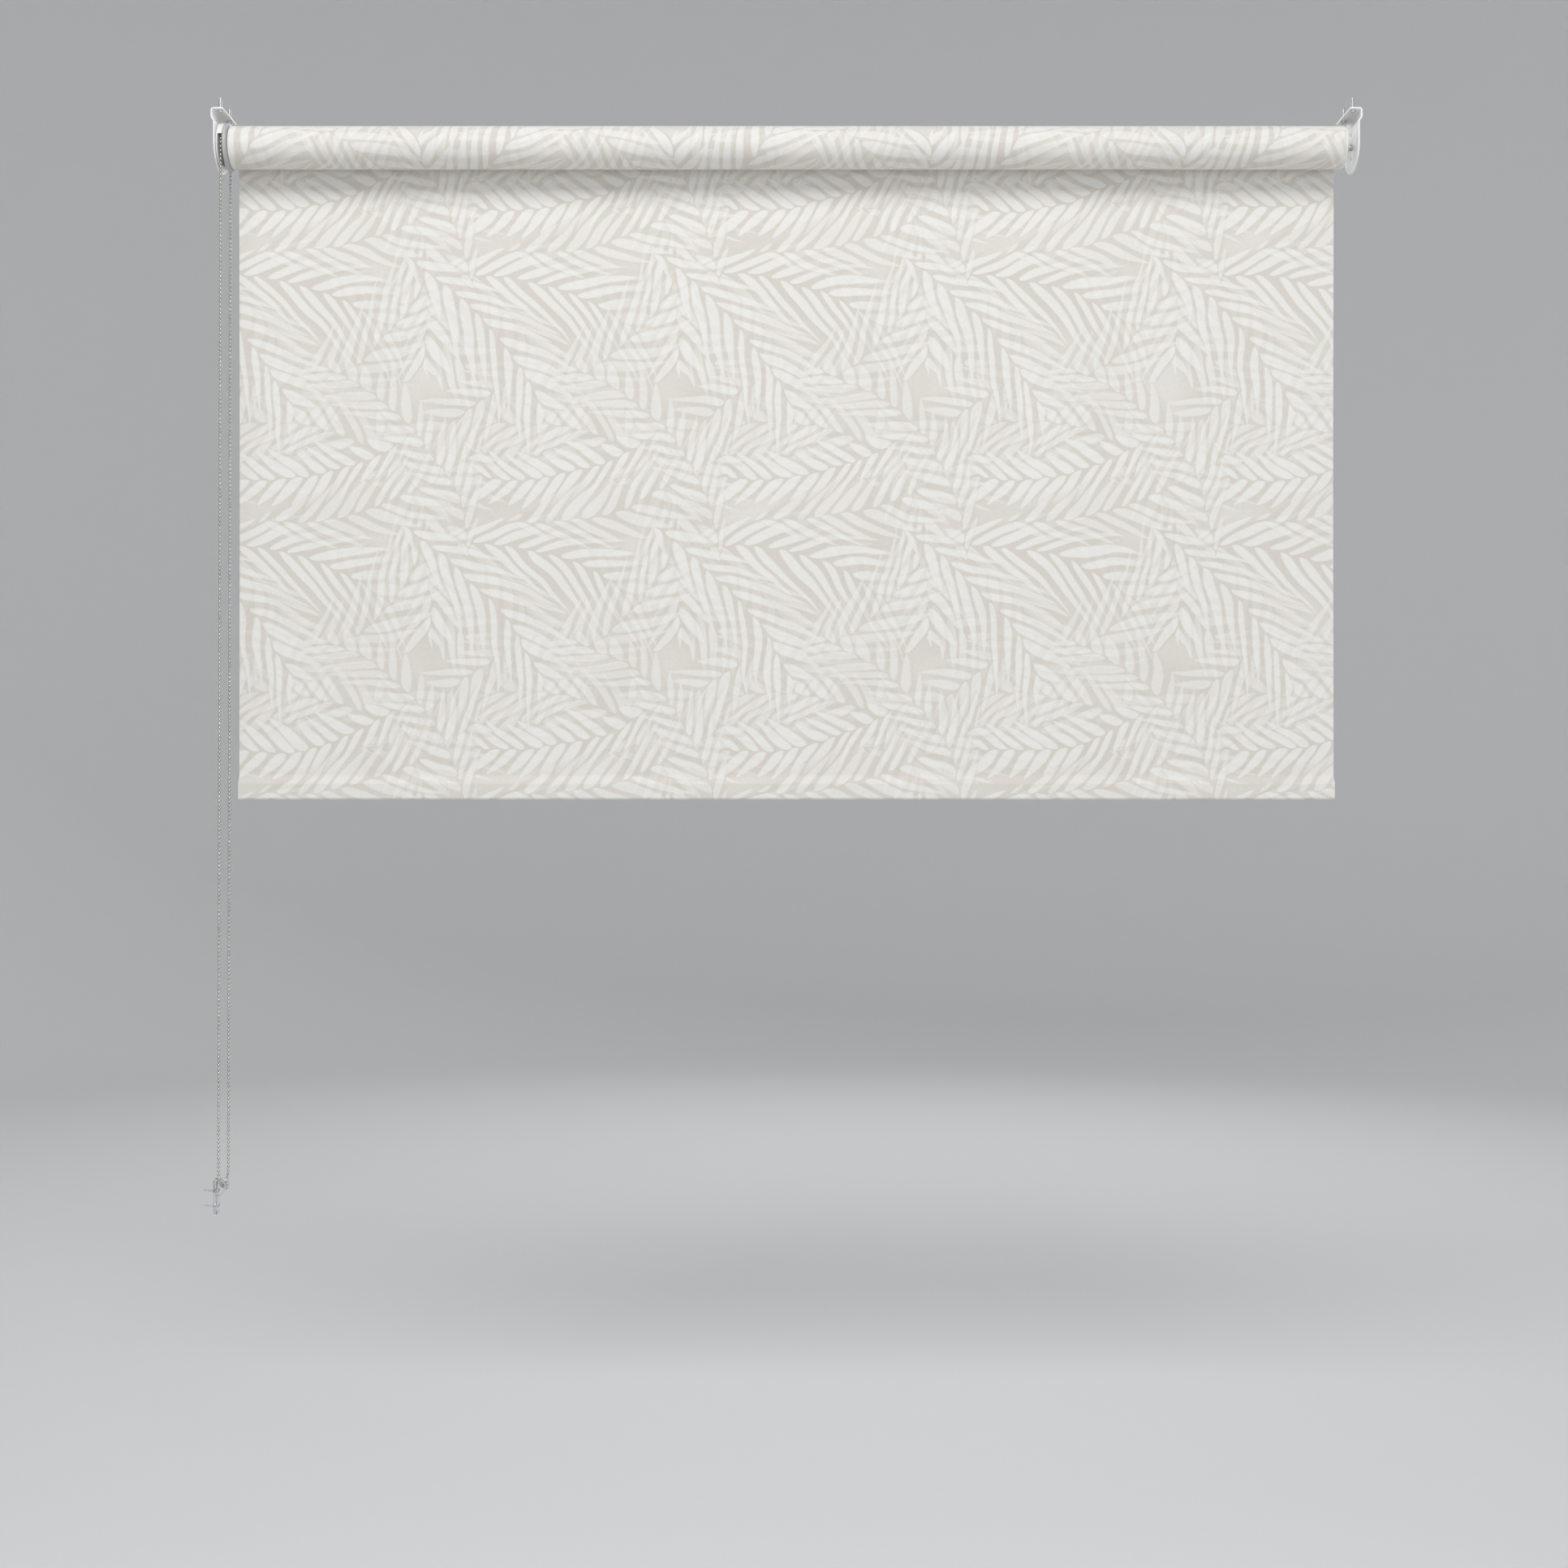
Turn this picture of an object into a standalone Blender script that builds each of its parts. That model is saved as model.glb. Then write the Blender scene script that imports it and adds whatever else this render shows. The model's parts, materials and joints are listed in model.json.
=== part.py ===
"""Chain-operated roller blind, head fixed, with its cloth half lowered.

X runs along the roller to the viewer's right, Y goes from the room towards the window and Z is up.
The origin is midway between the brackets, on the roller's vertical plane, at the face that the
brackets are screwed up against. The roller turns about X at AXIS_Z, and positive turns wind up.
Lengths are metres. Every sub-part is one object, and the empties carry what moves together.
"""

import math

import bmesh
import bpy
from mathutils import Vector

# Overall sizes
CLOTH_WIDTH = 1.160
CLOTH_DROP = 0.658  # roller axis to the top of the hem
AXIS_DEPTH = 0.034  # head face to roller axis
CHAIN_DROP = 1.074  # roller axis to where the chain starts its bottom bend

# Fits
SEAM = 0.0003  # gap between pieces that touch on the real blind
RUNNING = 0.0004  # radial gap of what turns in or on something

# Cloth and tube
CLOTH_THICK = 0.00038
WOUND_LENGTH = 0.905
TUBE_R = 0.019
TUBE_WALL = 0.0012
GROOVE_WIDTH = 0.0050
GROOVE_DEPTH = 0.0026

# Hem and bottom bar
HEM_HEIGHT = 0.0257
HEM_THICK = 0.0055
HEM_WALL = 0.00055
HEM_FLARE = 0.0085  # height over which the hem widens from the cloth to the bar
HEM_SHOULDER = 0.00595  # how far down that height its sides are nearly upright
HEM_TAPER = 0.00046  # how much thinner than the hem it still is there
BAR_WALL = 0.0009
BAR_INSET = 0.0030
BAR_CAP_PLATE = 0.0022
BAR_CAP_STEM = 0.012

# Brackets, pressed from sheet
SHEET = 0.0015
BRACKET_HALF_WIDTH = 0.027
FLANGE_REACH = 0.0117  # flange tip to the upper leg's centre plane
JOGGLE = 0.0026
JOGGLE_TOP = 0.0099
JOGGLE_END = 0.0136
BEND_R = 0.00225
SCREW_FRONT_Y = -0.0195
SCREW_REAR_Y = 0.0155
RIVET_HOLE_R = 0.0016
RIVET_HOLE_REACH = 0.0125

# Control unit
CONTROL_R = 0.025
HOUSING_DISC = 0.0016
SLOT_CLEAR = 0.0007  # each side of the chain in its slot
GUARD_WALL = 0.0018
GUARD_START = math.radians(19)
COVER_THICK = 0.0042
SPINDLE_R = 0.007
SPINDLE_NECK_R = 0.005
SPINDLE_END_R = 0.003
SPINDLE_LENGTH = 0.0425
SPINDLE_END = 0.011
SLEEVE_WALL = 0.0020
SLEEVE_LENGTH = 0.016
FINGER_WALL = 0.0008
FINGER_LENGTH = 0.018
FINGER_EDGE = math.radians(10)  # the finger wraps the springs for this much more than half a turn
ADAPTOR_FLANGE = 0.0011
ADAPTOR_LENGTH = 0.040
ADAPTOR_END_WALL = 0.003
RETAINER_R = 0.006
RETAINER_THICK = 0.0012
WRAP_WIRE_R = 0.00045
WRAP_TURNS = 4.5
WRAP_PITCH = 0.0013
WRAP_STARTS = (0.0012, 0.0092)  # from the sprocket sleeve's end

# Ball chain and its sprocket
BEAD_R = 0.0016
BEAD_PITCH = 0.00423
POCKETS = 28
CONNECTOR_WALL = 0.0004
CHAIN_LEAN = 0.0023  # how far the loop's foot stands nearer the side wall than the sprocket

# Chain tidy
SIDE_WALL_GAP = 0.0073  # bracket's inner face to the side wall of the recess
TIDY_DROP = 0.0074  # from where the chain starts its bend to the tidy's top
TIDY_PLATE = 0.003
TIDY_HALF_WIDTH = 0.006
TIDY_HEIGHT = 0.0376
TIDY_CLEAR = 0.0006  # between the connector and the bowl's front wall
TIDY_BOWL_HEIGHT = 0.0202
TIDY_BOWL_CORNER = 0.0108  # how far below its top the bowl turns back to the wall
TIDY_BOWL_ROUND = 0.005
TIDY_LIP_ROUND = 0.004
TIDY_HEAD_ROUND = 0.0018
TIDY_FOOT_ROUND = 0.0012
TIDY_WALL = 0.0017
TIDY_LIP_RISE = 0.0006  # how much higher the eye's front corner is than the bowl's
TIDY_FLOOR = 0.00204  # the bowl's floor, measured upright where it meets the plate
TIDY_SLIT = 0.0010
TIDY_SCREW_DROPS = (0.0122, 0.0281)

# Screws
SCREW_R = 0.00175
SCREW_LENGTH = 0.016
SCREW_HEAD_R = 0.0034
SCREW_HEAD_HEIGHT = 0.0022
TIDY_SCREW_R = 0.0014
TIDY_SCREW_HEAD_R = 0.0027
TIDY_SCREW_HEAD_HEIGHT = 0.00176

# Idle end
PLUG_FLANGE = 0.0037
PLUG_LENGTH = 0.030
PLUG_BORE_R = 0.0060
PLUG_END_WALL = 0.003
PIN_R = 0.003
PIN_COLLAR_R = 0.0054
PIN_COLLAR = 0.0025
PIN_TAIL = 0.012
IDLE_WIRE_R = 0.0004
IDLE_TURNS = 9
CLIP_THICK = 0.0024

# Sizes that follow, along the roller from the control bracket
AXIS_Z = -AXIS_DEPTH
END_X = CLOTH_WIDTH / 2
SLOT_WIDTH = 2 * (BEAD_R + SLOT_CLEAR)
CONTROL_GAP = HOUSING_DISC + SLOT_WIDTH + COVER_THICK + ADAPTOR_FLANGE + 4 * SEAM
PLATE_X = END_X + CONTROL_GAP  # inner face of each bracket, at either end
LEG_X = PLATE_X + SHEET / 2
WALL_X = PLATE_X + SIDE_WALL_GAP
HOUSING_X = -PLATE_X + SEAM
SLOT_X = HOUSING_X + HOUSING_DISC
CHAIN_X = SLOT_X + SLOT_WIDTH / 2
COVER_X = SLOT_X + SLOT_WIDTH + SEAM
ADAPTOR_X = COVER_X + COVER_THICK + SEAM
TUBE_END_X = END_X + SEAM  # where the end fittings' flanges meet the tube

# Sizes that follow, across the roller
ROLL_R = math.sqrt(TUBE_R**2 + CLOTH_THICK * WOUND_LENGTH / math.pi)
TUBE_BORE_R = TUBE_R - TUBE_WALL
FITTING_R = TUBE_BORE_R - SEAM
PITCH_R = BEAD_PITCH * POCKETS / (2 * math.pi)
GROOVE_R = BEAD_R + SEAM
CONNECTOR_R = BEAD_R + CONNECTOR_WALL
SPROCKET_R = PITCH_R - GROOVE_R / 2
SLEEVE_BORE_R = SPINDLE_R + RUNNING
SLEEVE_R = SLEEVE_BORE_R + SLEEVE_WALL
WRAP_R = SPINDLE_R + SEAM + WRAP_WIRE_R

# Sizes that follow, for the cloth, the chain and the tidy
CLOTH_Y = ROLL_R + SEAM
HEM_BACK_Y = CLOTH_Y + CLOTH_THICK
HEM_TOP_Z = AXIS_Z - CLOTH_DROP - SEAM
HEM_FOOT_Z = HEM_TOP_Z - HEM_HEIGHT
HEM_MID_Y = HEM_BACK_Y - HEM_THICK / 2
BAR_THICK = HEM_THICK - 2 * HEM_WALL - 2 * SEAM
BAR_HEIGHT = HEM_HEIGHT - HEM_FLARE - HEM_WALL - SEAM
BAR_HALF = END_X - BAR_INSET
BEND_Z = AXIS_Z - CHAIN_DROP
CHAIN_FOOT_X = CHAIN_X - CHAIN_LEAN
TIDY_TOP_Z = BEND_Z - TIDY_DROP
TIDY_FACE_X = -WALL_X + TIDY_PLATE

# The loop's bottom bend, as (y, height from where the bend starts), chosen by eye.
FRONT_BEND = ((-0.0183, -0.0030), (-0.0166, -0.0058), (-0.0140, -0.0080), (-0.0115, -0.0094))
CONNECTOR_ENDS = ((-0.0110, -0.0097), (-0.0010, -0.0158))
REAR_BEND = (
    (-0.0003, -0.0162),
    (0.0028, -0.0166),
    (0.0066, -0.0157),
    (0.0104, -0.0133),
    (0.0139, -0.0099),
    (0.0166, -0.0060),
    (0.0183, -0.0025),
)

SURFACES = {
    # name: (colour, roughness, metallic)
    "white_paint": ((0.86, 0.86, 0.85), 0.42, 0.0),
    "white_plastic": ((0.80, 0.80, 0.79), 0.38, 0.0),
    "grey_plastic": ((0.55, 0.56, 0.57), 0.45, 0.0),
    "cloth": ((0.83, 0.81, 0.77), 0.85, 0.0),
    "aluminium": ((0.72, 0.73, 0.74), 0.35, 1.0),
    "nickel": ((0.70, 0.69, 0.66), 0.22, 1.0),
    "spring_steel": ((0.55, 0.55, 0.56), 0.30, 1.0),
    "zinc": ((0.66, 0.67, 0.68), 0.32, 1.0),
    "clear_plastic": ((0.90, 0.93, 0.94), 0.12, 0.0),
}


def clear_scene():
    for old in list(bpy.data.objects):
        bpy.data.objects.remove(old, do_unlink=True)


def surface(name):
    found = bpy.data.materials.get(name)
    if found:
        return found
    colour, roughness, metallic = SURFACES[name]
    material = bpy.data.materials.new(name)
    material.use_nodes = True
    shader = material.node_tree.nodes["Principled BSDF"]
    shader.inputs["Base Color"].default_value = (*colour, 1.0)
    shader.inputs["Roughness"].default_value = roughness
    shader.inputs["Metallic"].default_value = metallic
    return material


def carrier(name, place):
    """An empty on a joint's axis. What moves with that joint is parented to it."""
    empty = bpy.data.objects.new(name, None)
    bpy.context.scene.collection.objects.link(empty)
    empty.location = place
    return empty


def place_object(name, data, look, place, parent, turn=(0, 0, 0)):
    obj = bpy.data.objects.new(name, data)
    bpy.context.scene.collection.objects.link(obj)
    data.materials.append(surface(look))
    obj.location = place
    obj.rotation_euler = turn
    obj.parent = parent
    return obj


def mesh_from(name, build):
    """A mesh with its faces pointing out, smooth where it is round."""
    shape = bmesh.new()
    build(shape)
    bmesh.ops.recalc_face_normals(shape, faces=shape.faces)
    mesh = bpy.data.meshes.new(name)
    shape.to_mesh(mesh)
    shape.free()
    mesh.shade_smooth()
    mesh.set_sharp_from_angle(angle=math.radians(35))
    return mesh


def turned(name, profile, look, place, parent=None, turn=(0, 0, 0), steps=48):
    """A shape turned about its own X axis. The profile lists (x, radius), and is closed for a ring."""

    def build(shape):
        rings = []
        for x, radius in profile:
            if radius == 0:
                rings.append([shape.verts.new((x, 0, 0))] * steps)
                continue
            angles = [2 * math.pi * i / steps for i in range(steps)]
            rings.append([shape.verts.new((x, radius * math.cos(a), radius * math.sin(a))) for a in angles])
        pairs = list(zip(rings, rings[1:] + rings[:1]))
        for one, two in pairs:
            for i in range(steps):
                j = (i + 1) % steps
                corners = list(dict.fromkeys((one[i], one[j], two[j], two[i])))
                if len(corners) > 2:
                    shape.faces.new(corners)

    return place_object(name, mesh_from(name, build), look, place, parent, turn)


def ring(name, low, high, inner, outer, look, place, parent=None, steps=48):
    profile = [(low, inner), (low, outer), (high, outer), (high, inner)]
    return turned(name, profile, look, place, parent, steps=steps)


def across(axis, along, u, v):
    """The point at a distance along X, Y or Z, with u and v on the two other axes in order."""
    point = [u, v]
    point.insert("XYZ".index(axis), along)
    return point


def lofted(name, sections, look, place=(0, 0, 0), parent=None):
    """A closed solid through sections, each a list of points that match one for one."""

    def build(shape):
        loops = [[shape.verts.new(point) for point in section] for section in sections]
        shape.faces.new(loops[0])
        shape.faces.new(loops[-1])
        for one, two in zip(loops, loops[1:]):
            for i in range(len(one)):
                j = (i + 1) % len(one)
                shape.faces.new((one[i], one[j], two[j], two[i]))

    return place_object(name, mesh_from(name, build), look, place, parent)


def prism(name, outline, axis, low, high, look, place=(0, 0, 0), parent=None):
    sections = [[across(axis, at, u, v) for u, v in outline] for at in (low, high)]
    return lofted(name, sections, look, place, parent)


def hollow_prism(name, outer, inner, half_length, look, place=(0, 0, 0), parent=None):
    """A tube along X whose outer and inner outlines, lists of (y, z), match point for point."""

    def build(shape):
        ends = ((-half_length, outer), (half_length, outer), (half_length, inner), (-half_length, inner))
        loops = [[shape.verts.new((x, y, z)) for y, z in outline] for x, outline in ends]
        for one, two in zip(loops, loops[1:] + loops[:1]):
            for i in range(len(outer)):
                j = (i + 1) % len(outer)
                shape.faces.new((one[i], one[j], two[j], two[i]))

    return place_object(name, mesh_from(name, build), look, place, parent)


def rod(name, points, radius, look, place=(0, 0, 0), parent=None, resolution=2):
    """A round bar that follows the points, with closed ends."""
    curve = bpy.data.curves.new(name, "CURVE")
    curve.dimensions = "3D"
    curve.bevel_depth = radius
    curve.bevel_resolution = resolution
    curve.use_fill_caps = True
    spline = curve.splines.new("POLY")
    spline.points.add(len(points) - 1)
    for spot, point in zip(spline.points, points):
        spot.co = (*point, 1.0)
    return place_object(name, curve, look, place, parent)


def cut(obj, tool, operation="DIFFERENCE"):
    """Cuts obj with tool, which stays as a hidden guide."""
    tool.hide_render = True
    tool.display_type = "WIRE"
    step = obj.modifiers.new(tool.name, "BOOLEAN")
    step.operation = operation
    step.object = tool


def drill(obj, name, axis, low, high, radius, u, v, steps=24):
    """A round hole through obj along an axis, at u and v on the two other axes."""
    outline = [(u + a, v + b) for a, b in arc((0, 0), radius, 0, 360 - 360 / steps, steps - 1)]
    cut(obj, prism(f"{name}_drill", outline, axis, low, high, "zinc"))


def arc(centre, radius, start, end, steps):
    """Points on a circle, from the start angle to the end angle in degrees."""
    angles = [math.radians(start + (end - start) * i / steps) for i in range(steps + 1)]
    return [(centre[0] + radius * math.cos(a), centre[1] + radius * math.sin(a)) for a in angles]


def spun(vector, angle):
    return Vector((
        vector.x * math.cos(angle) - vector.y * math.sin(angle),
        vector.x * math.sin(angle) + vector.y * math.cos(angle),
    ))


def moved_sideways(points, distance, closed=False):
    """A line or an outline moved to its left by a distance, with mitred corners."""
    moved = []
    last = len(points) - 1
    for i, point in enumerate(points):
        here = Vector(point)
        into = here - Vector(points[i - 1])
        out = Vector(points[(i + 1) % len(points)]) - here
        if not closed and i == 0:
            into = out
        if not closed and i == last:
            out = into
        left = spun(into.normalized(), math.pi / 2)
        mitre = (left + spun(out.normalized(), math.pi / 2)).normalized()
        moved.append(tuple(here + mitre * distance / mitre.dot(left)))
    return moved


def rounded(corners, steps=4):
    """The outline through corners (x, y, radius), each rounded by its radius."""
    outline = []
    for i, (x, y, radius) in enumerate(corners):
        here = Vector((x, y))
        if radius == 0:
            outline.append((x, y))
            continue
        back = (Vector(corners[i - 1][:2]) - here).normalized()
        onward = (Vector(corners[(i + 1) % len(corners)][:2]) - here).normalized()
        half = back.angle(onward) / 2
        centre = here + (back + onward).normalized() * radius / math.sin(half)
        first = here + back * radius / math.tan(half) - centre
        second = here + onward * radius / math.tan(half) - centre
        turn = math.atan2(first.x * second.y - first.y * second.x, first.dot(second))
        outline += [tuple(centre + spun(first, turn * k / steps)) for k in range(steps + 1)]
    return outline


def smooth_curve(points, per_span):
    """Points on the Catmull-Rom curve through the given ones."""
    ends = [2 * points[0] - points[1], *points, 2 * points[-1] - points[-2]]
    curve = []
    for a, b, c, d in zip(ends, ends[1:], ends[2:], ends[3:]):
        for k in range(per_span):
            t = k / per_span
            curve.append(
                0.5 * (2 * b + (c - a) * t + (2 * a - 5 * b + 4 * c - d) * t**2 + (3 * b - a - 3 * c + d) * t**3)
            )
    return [*curve, points[-1]]


def stadium(width, height, centre, steps=6):
    """An upright slot shape, half circles above and below, as (y, z)."""
    y, z = centre
    radius = width / 2
    low = arc((y, z - height / 2 + radius), radius, 180, 360, steps)
    return low + arc((y, z + height / 2 - radius), radius, 0, 180, steps)


def coil(radius, start, turns, pitch, per_turn):
    """Points on a helix round the X axis."""
    count = round(turns * per_turn)
    angles = [2 * math.pi * i / per_turn for i in range(count + 1)]
    return [
        (start + pitch * a / (2 * math.pi), radius * math.cos(a), radius * math.sin(a)) for a in angles
    ]


def bracket(name, side, pivot_r):
    """A pressed steel bracket: a flange under the head, a joggled leg and a round foot."""
    flange_z = -SHEET / 2
    upper_x = LEG_X + JOGGLE
    bend = arc((upper_x - BEND_R, flange_z - BEND_R), BEND_R, 90, 0, 4)
    line = [(upper_x - FLANGE_REACH, flange_z), *bend, (upper_x, -JOGGLE_TOP)]
    line += [(LEG_X, -JOGGLE_END), (LEG_X, AXIS_Z - BRACKET_HALF_WIDTH - SHEET)]
    outline = moved_sideways(line, SHEET / 2) + moved_sideways(line, -SHEET / 2)[::-1]
    reach = BRACKET_HALF_WIDTH + SHEET
    piece = prism(name, [(side * x, z) for x, z in outline], "Y", -reach, reach, "white_paint")

    foot = arc((0, AXIS_Z), BRACKET_HALF_WIDTH, 180, 360, 28)
    silhouette = foot + [(BRACKET_HALF_WIDTH, SHEET), (-BRACKET_HALF_WIDTH, SHEET)]
    low, high = sorted((side * (LEG_X - 2 * FLANGE_REACH), side * (LEG_X + 2 * FLANGE_REACH)))
    cut(piece, prism(f"{name}_outline", silhouette, "X", low, high, "white_paint"), "INTERSECT")

    low, high = sorted((side * (PLATE_X - SHEET), side * (PLATE_X + 2 * SHEET)))
    drill(piece, f"{name}_pivot", "X", low, high, pivot_r, 0, AXIS_Z, 32)
    for place, reach in (("upper", RIVET_HOLE_REACH), ("lower", -RIVET_HOLE_REACH)):
        drill(piece, f"{name}_{place}", "X", low, high, RIVET_HOLE_R, 0, AXIS_Z + reach, 16)
    for place, y in (("front", SCREW_FRONT_Y), ("rear", SCREW_REAR_Y)):
        x = side * screw_x()
        drill(piece, f"{name}_{place}", "Z", -2 * SHEET, SHEET, SCREW_R + SEAM, x, y, 20)
    return piece


def screw_x():
    """The brackets' screws stand in the middle of the flange's flat."""
    return LEG_X + JOGGLE - (FLANGE_REACH + BEND_R) / 2 - SHEET / 4


def screw(name, place, turn, shank_r, head_r, head_height=SCREW_HEAD_HEIGHT):
    """A pan-head screw that points along its own X, with the head's underside at its origin."""
    profile = [
        (-head_height, 0),
        (-head_height, 0.55 * head_r),
        (-0.80 * head_height, 0.85 * head_r),
        (-0.45 * head_height, head_r),
        (0, head_r),
        (0, shank_r),
        (SCREW_LENGTH - 2.5 * shank_r, shank_r),
        (SCREW_LENGTH, 0),
    ]
    return turned(name, profile, "zinc", place, turn=turn, steps=20)


def make_brackets():
    bracket("control_bracket", -1, SPINDLE_NECK_R + SEAM)
    bracket("idle_bracket", 1, PIN_R + RUNNING)
    upward = (0, -math.pi / 2, 0)
    for end, side in (("control", -1), ("idle", 1)):
        for row, y in (("front", SCREW_FRONT_Y), ("rear", SCREW_REAR_Y)):
            place = (side * screw_x(), y, -SHEET - SEAM)
            screw(f"{end}_bracket_screw_{row}", place, upward, SCREW_R, SCREW_HEAD_R)


def make_control_unit(roller):
    """The fixed housing, cover and spindle, and the sprocket, wrap springs and adaptor that turn."""
    axis = (0, 0, AXIS_Z)
    neck_hole = SPINDLE_NECK_R + SEAM
    slot_end = SLOT_X + SLOT_WIDTH
    edge = HOUSING_DISC / 4
    housing = turned(
        "control_housing",
        [
            (HOUSING_X, neck_hole),
            (HOUSING_X, CONTROL_R - edge),
            (HOUSING_X + edge, CONTROL_R),
            (slot_end, CONTROL_R),
            (slot_end, CONTROL_R - GUARD_WALL),
            (SLOT_X, CONTROL_R - GUARD_WALL),
            (SLOT_X, neck_hole),
        ],
        "white_plastic",
        axis,
        steps=64,
    )
    mouth_z = AXIS_Z + CONTROL_R * math.sin(GUARD_START)
    reach = 2 * CONTROL_R
    mouth = [(-reach, AXIS_Z - reach), (reach, AXIS_Z - reach), (reach, mouth_z), (-reach, mouth_z)]
    cut(housing, prism("control_mouth", mouth, "X", SLOT_X, slot_end + SEAM, "white_plastic"))

    cover_end = COVER_X + COVER_THICK
    rim = COVER_THICK / 6
    turned(
        "control_cover",
        [
            (COVER_X, SLEEVE_R + RUNNING),
            (COVER_X, CONTROL_R),
            (cover_end - rim, CONTROL_R),
            (cover_end, CONTROL_R - rim),
            (cover_end, SLEEVE_R + RUNNING),
        ],
        "grey_plastic",
        axis,
        steps=64,
    )

    collar = SLOT_X + SEAM
    collar_end = collar + SPINDLE_LENGTH
    spindle_end = collar_end + SPINDLE_END
    neck_start = -PLATE_X - SHEET
    turned(
        "clutch_spindle",
        [
            (neck_start, 0),
            (neck_start, SPINDLE_NECK_R),
            (collar, SPINDLE_NECK_R),
            (collar, SPINDLE_R),
            (collar_end, SPINDLE_R),
            (collar_end, SPINDLE_END_R),
            (spindle_end, SPINDLE_END_R),
            (spindle_end, 0),
        ],
        "grey_plastic",
        axis,
    )

    start = SLOT_X + RUNNING
    rim_end = slot_end - RUNNING
    sleeve_end = rim_end + SLEEVE_LENGTH
    finger_end = sleeve_end + FINGER_LENGTH
    finger_bore = SLEEVE_R - FINGER_WALL
    sprocket = turned(
        "chain_sprocket",
        [
            (start, SLEEVE_BORE_R),
            (start, SPROCKET_R),
            *arc((CHAIN_X, PITCH_R), GROOVE_R, 210, 330, 6),
            (rim_end, SPROCKET_R),
            (rim_end, SLEEVE_R),
            (finger_end, SLEEVE_R),
            (finger_end, finger_bore),
            (sleeve_end, finger_bore),
            (sleeve_end, SLEEVE_BORE_R),
        ],
        "grey_plastic",
        (0, 0, 0),
        roller,
    )
    sill = reach * math.tan(FINGER_EDGE)
    window = [(0, 0), (reach, sill), (reach, reach), (-reach, reach), (-reach, sill)]
    window_start = sleeve_end + RUNNING
    window_tool = prism("finger_window", window, "X", window_start, finger_end + SEAM, "grey_plastic")
    window_tool.parent = roller
    cut(sprocket, window_tool)

    for number, offset in enumerate(WRAP_STARTS, 1):
        points = coil(WRAP_R, sleeve_end + offset, WRAP_TURNS, WRAP_PITCH, 20)
        rod(f"wrap_spring_{number}", points, WRAP_WIRE_R, "spring_steel", parent=roller, resolution=1)

    adaptor_end = -TUBE_END_X + ADAPTOR_LENGTH
    adaptor = turned(
        "tube_adaptor",
        [
            (ADAPTOR_X, SLEEVE_R + RUNNING),
            (ADAPTOR_X, TUBE_R),
            (-TUBE_END_X, TUBE_R),
            (-TUBE_END_X, FITTING_R),
            (adaptor_end, FITTING_R),
            (adaptor_end, SPINDLE_END_R + RUNNING),
            (adaptor_end - ADAPTOR_END_WALL, SPINDLE_END_R + RUNNING),
            (adaptor_end - ADAPTOR_END_WALL, SLEEVE_R + RUNNING),
        ],
        "grey_plastic",
        (0, 0, 0),
        roller,
    )
    key_slot(adaptor, -TUBE_END_X, adaptor_end + SEAM, roller)

    retainer = adaptor_end + SEAM
    ring(
        "spindle_retainer",
        retainer,
        retainer + RETAINER_THICK,
        SPINDLE_END_R + SEAM,
        RETAINER_R,
        "spring_steel",
        axis,
        steps=32,
    )


def key_slot(fitting, low, high, roller):
    """Cuts the slot in an end fitting that the tube's inner rib drives."""
    half = GROOVE_WIDTH / 2 + TUBE_WALL + RUNNING
    floor = TUBE_R - GROOVE_DEPTH - TUBE_WALL - RUNNING
    outline = [(-half, floor), (half, floor), (half, 2 * TUBE_R), (-half, 2 * TUBE_R)]
    tool = prism(f"{fitting.name}_key_slot", outline, "X", low, high, "grey_plastic")
    tool.parent = roller
    cut(fitting, tool)


def make_roller(roller):
    """The grooved tube, the spline that holds the cloth in its groove, and the cloth wound on it."""

    def section(radius, half_groove, floor):
        edge = math.degrees(math.asin(half_groove / radius))
        return arc((0, 0), radius, 90 - edge, edge - 270, 56) + [(-half_groove, floor), (half_groove, floor)]

    floor = TUBE_R - GROOVE_DEPTH
    outer = section(TUBE_R, GROOVE_WIDTH / 2, floor)
    inner = section(TUBE_BORE_R, GROOVE_WIDTH / 2 + TUBE_WALL, floor - TUBE_WALL)
    hollow_prism("roller_tube", outer, inner, END_X, "aluminium", parent=roller)

    half = GROOVE_WIDTH / 2 - SEAM
    low, high = floor + SEAM, TUBE_R - 2 * SEAM
    strip = [(-half, low), (half, low), (half, high), (-half, high)]
    prism("fabric_spline", strip, "X", -END_X, END_X, "white_plastic", parent=roller)

    ring("cloth_roll", -END_X, END_X, TUBE_R + SEAM, ROLL_R, "cloth", (0, 0, 0), roller, steps=80)


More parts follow.
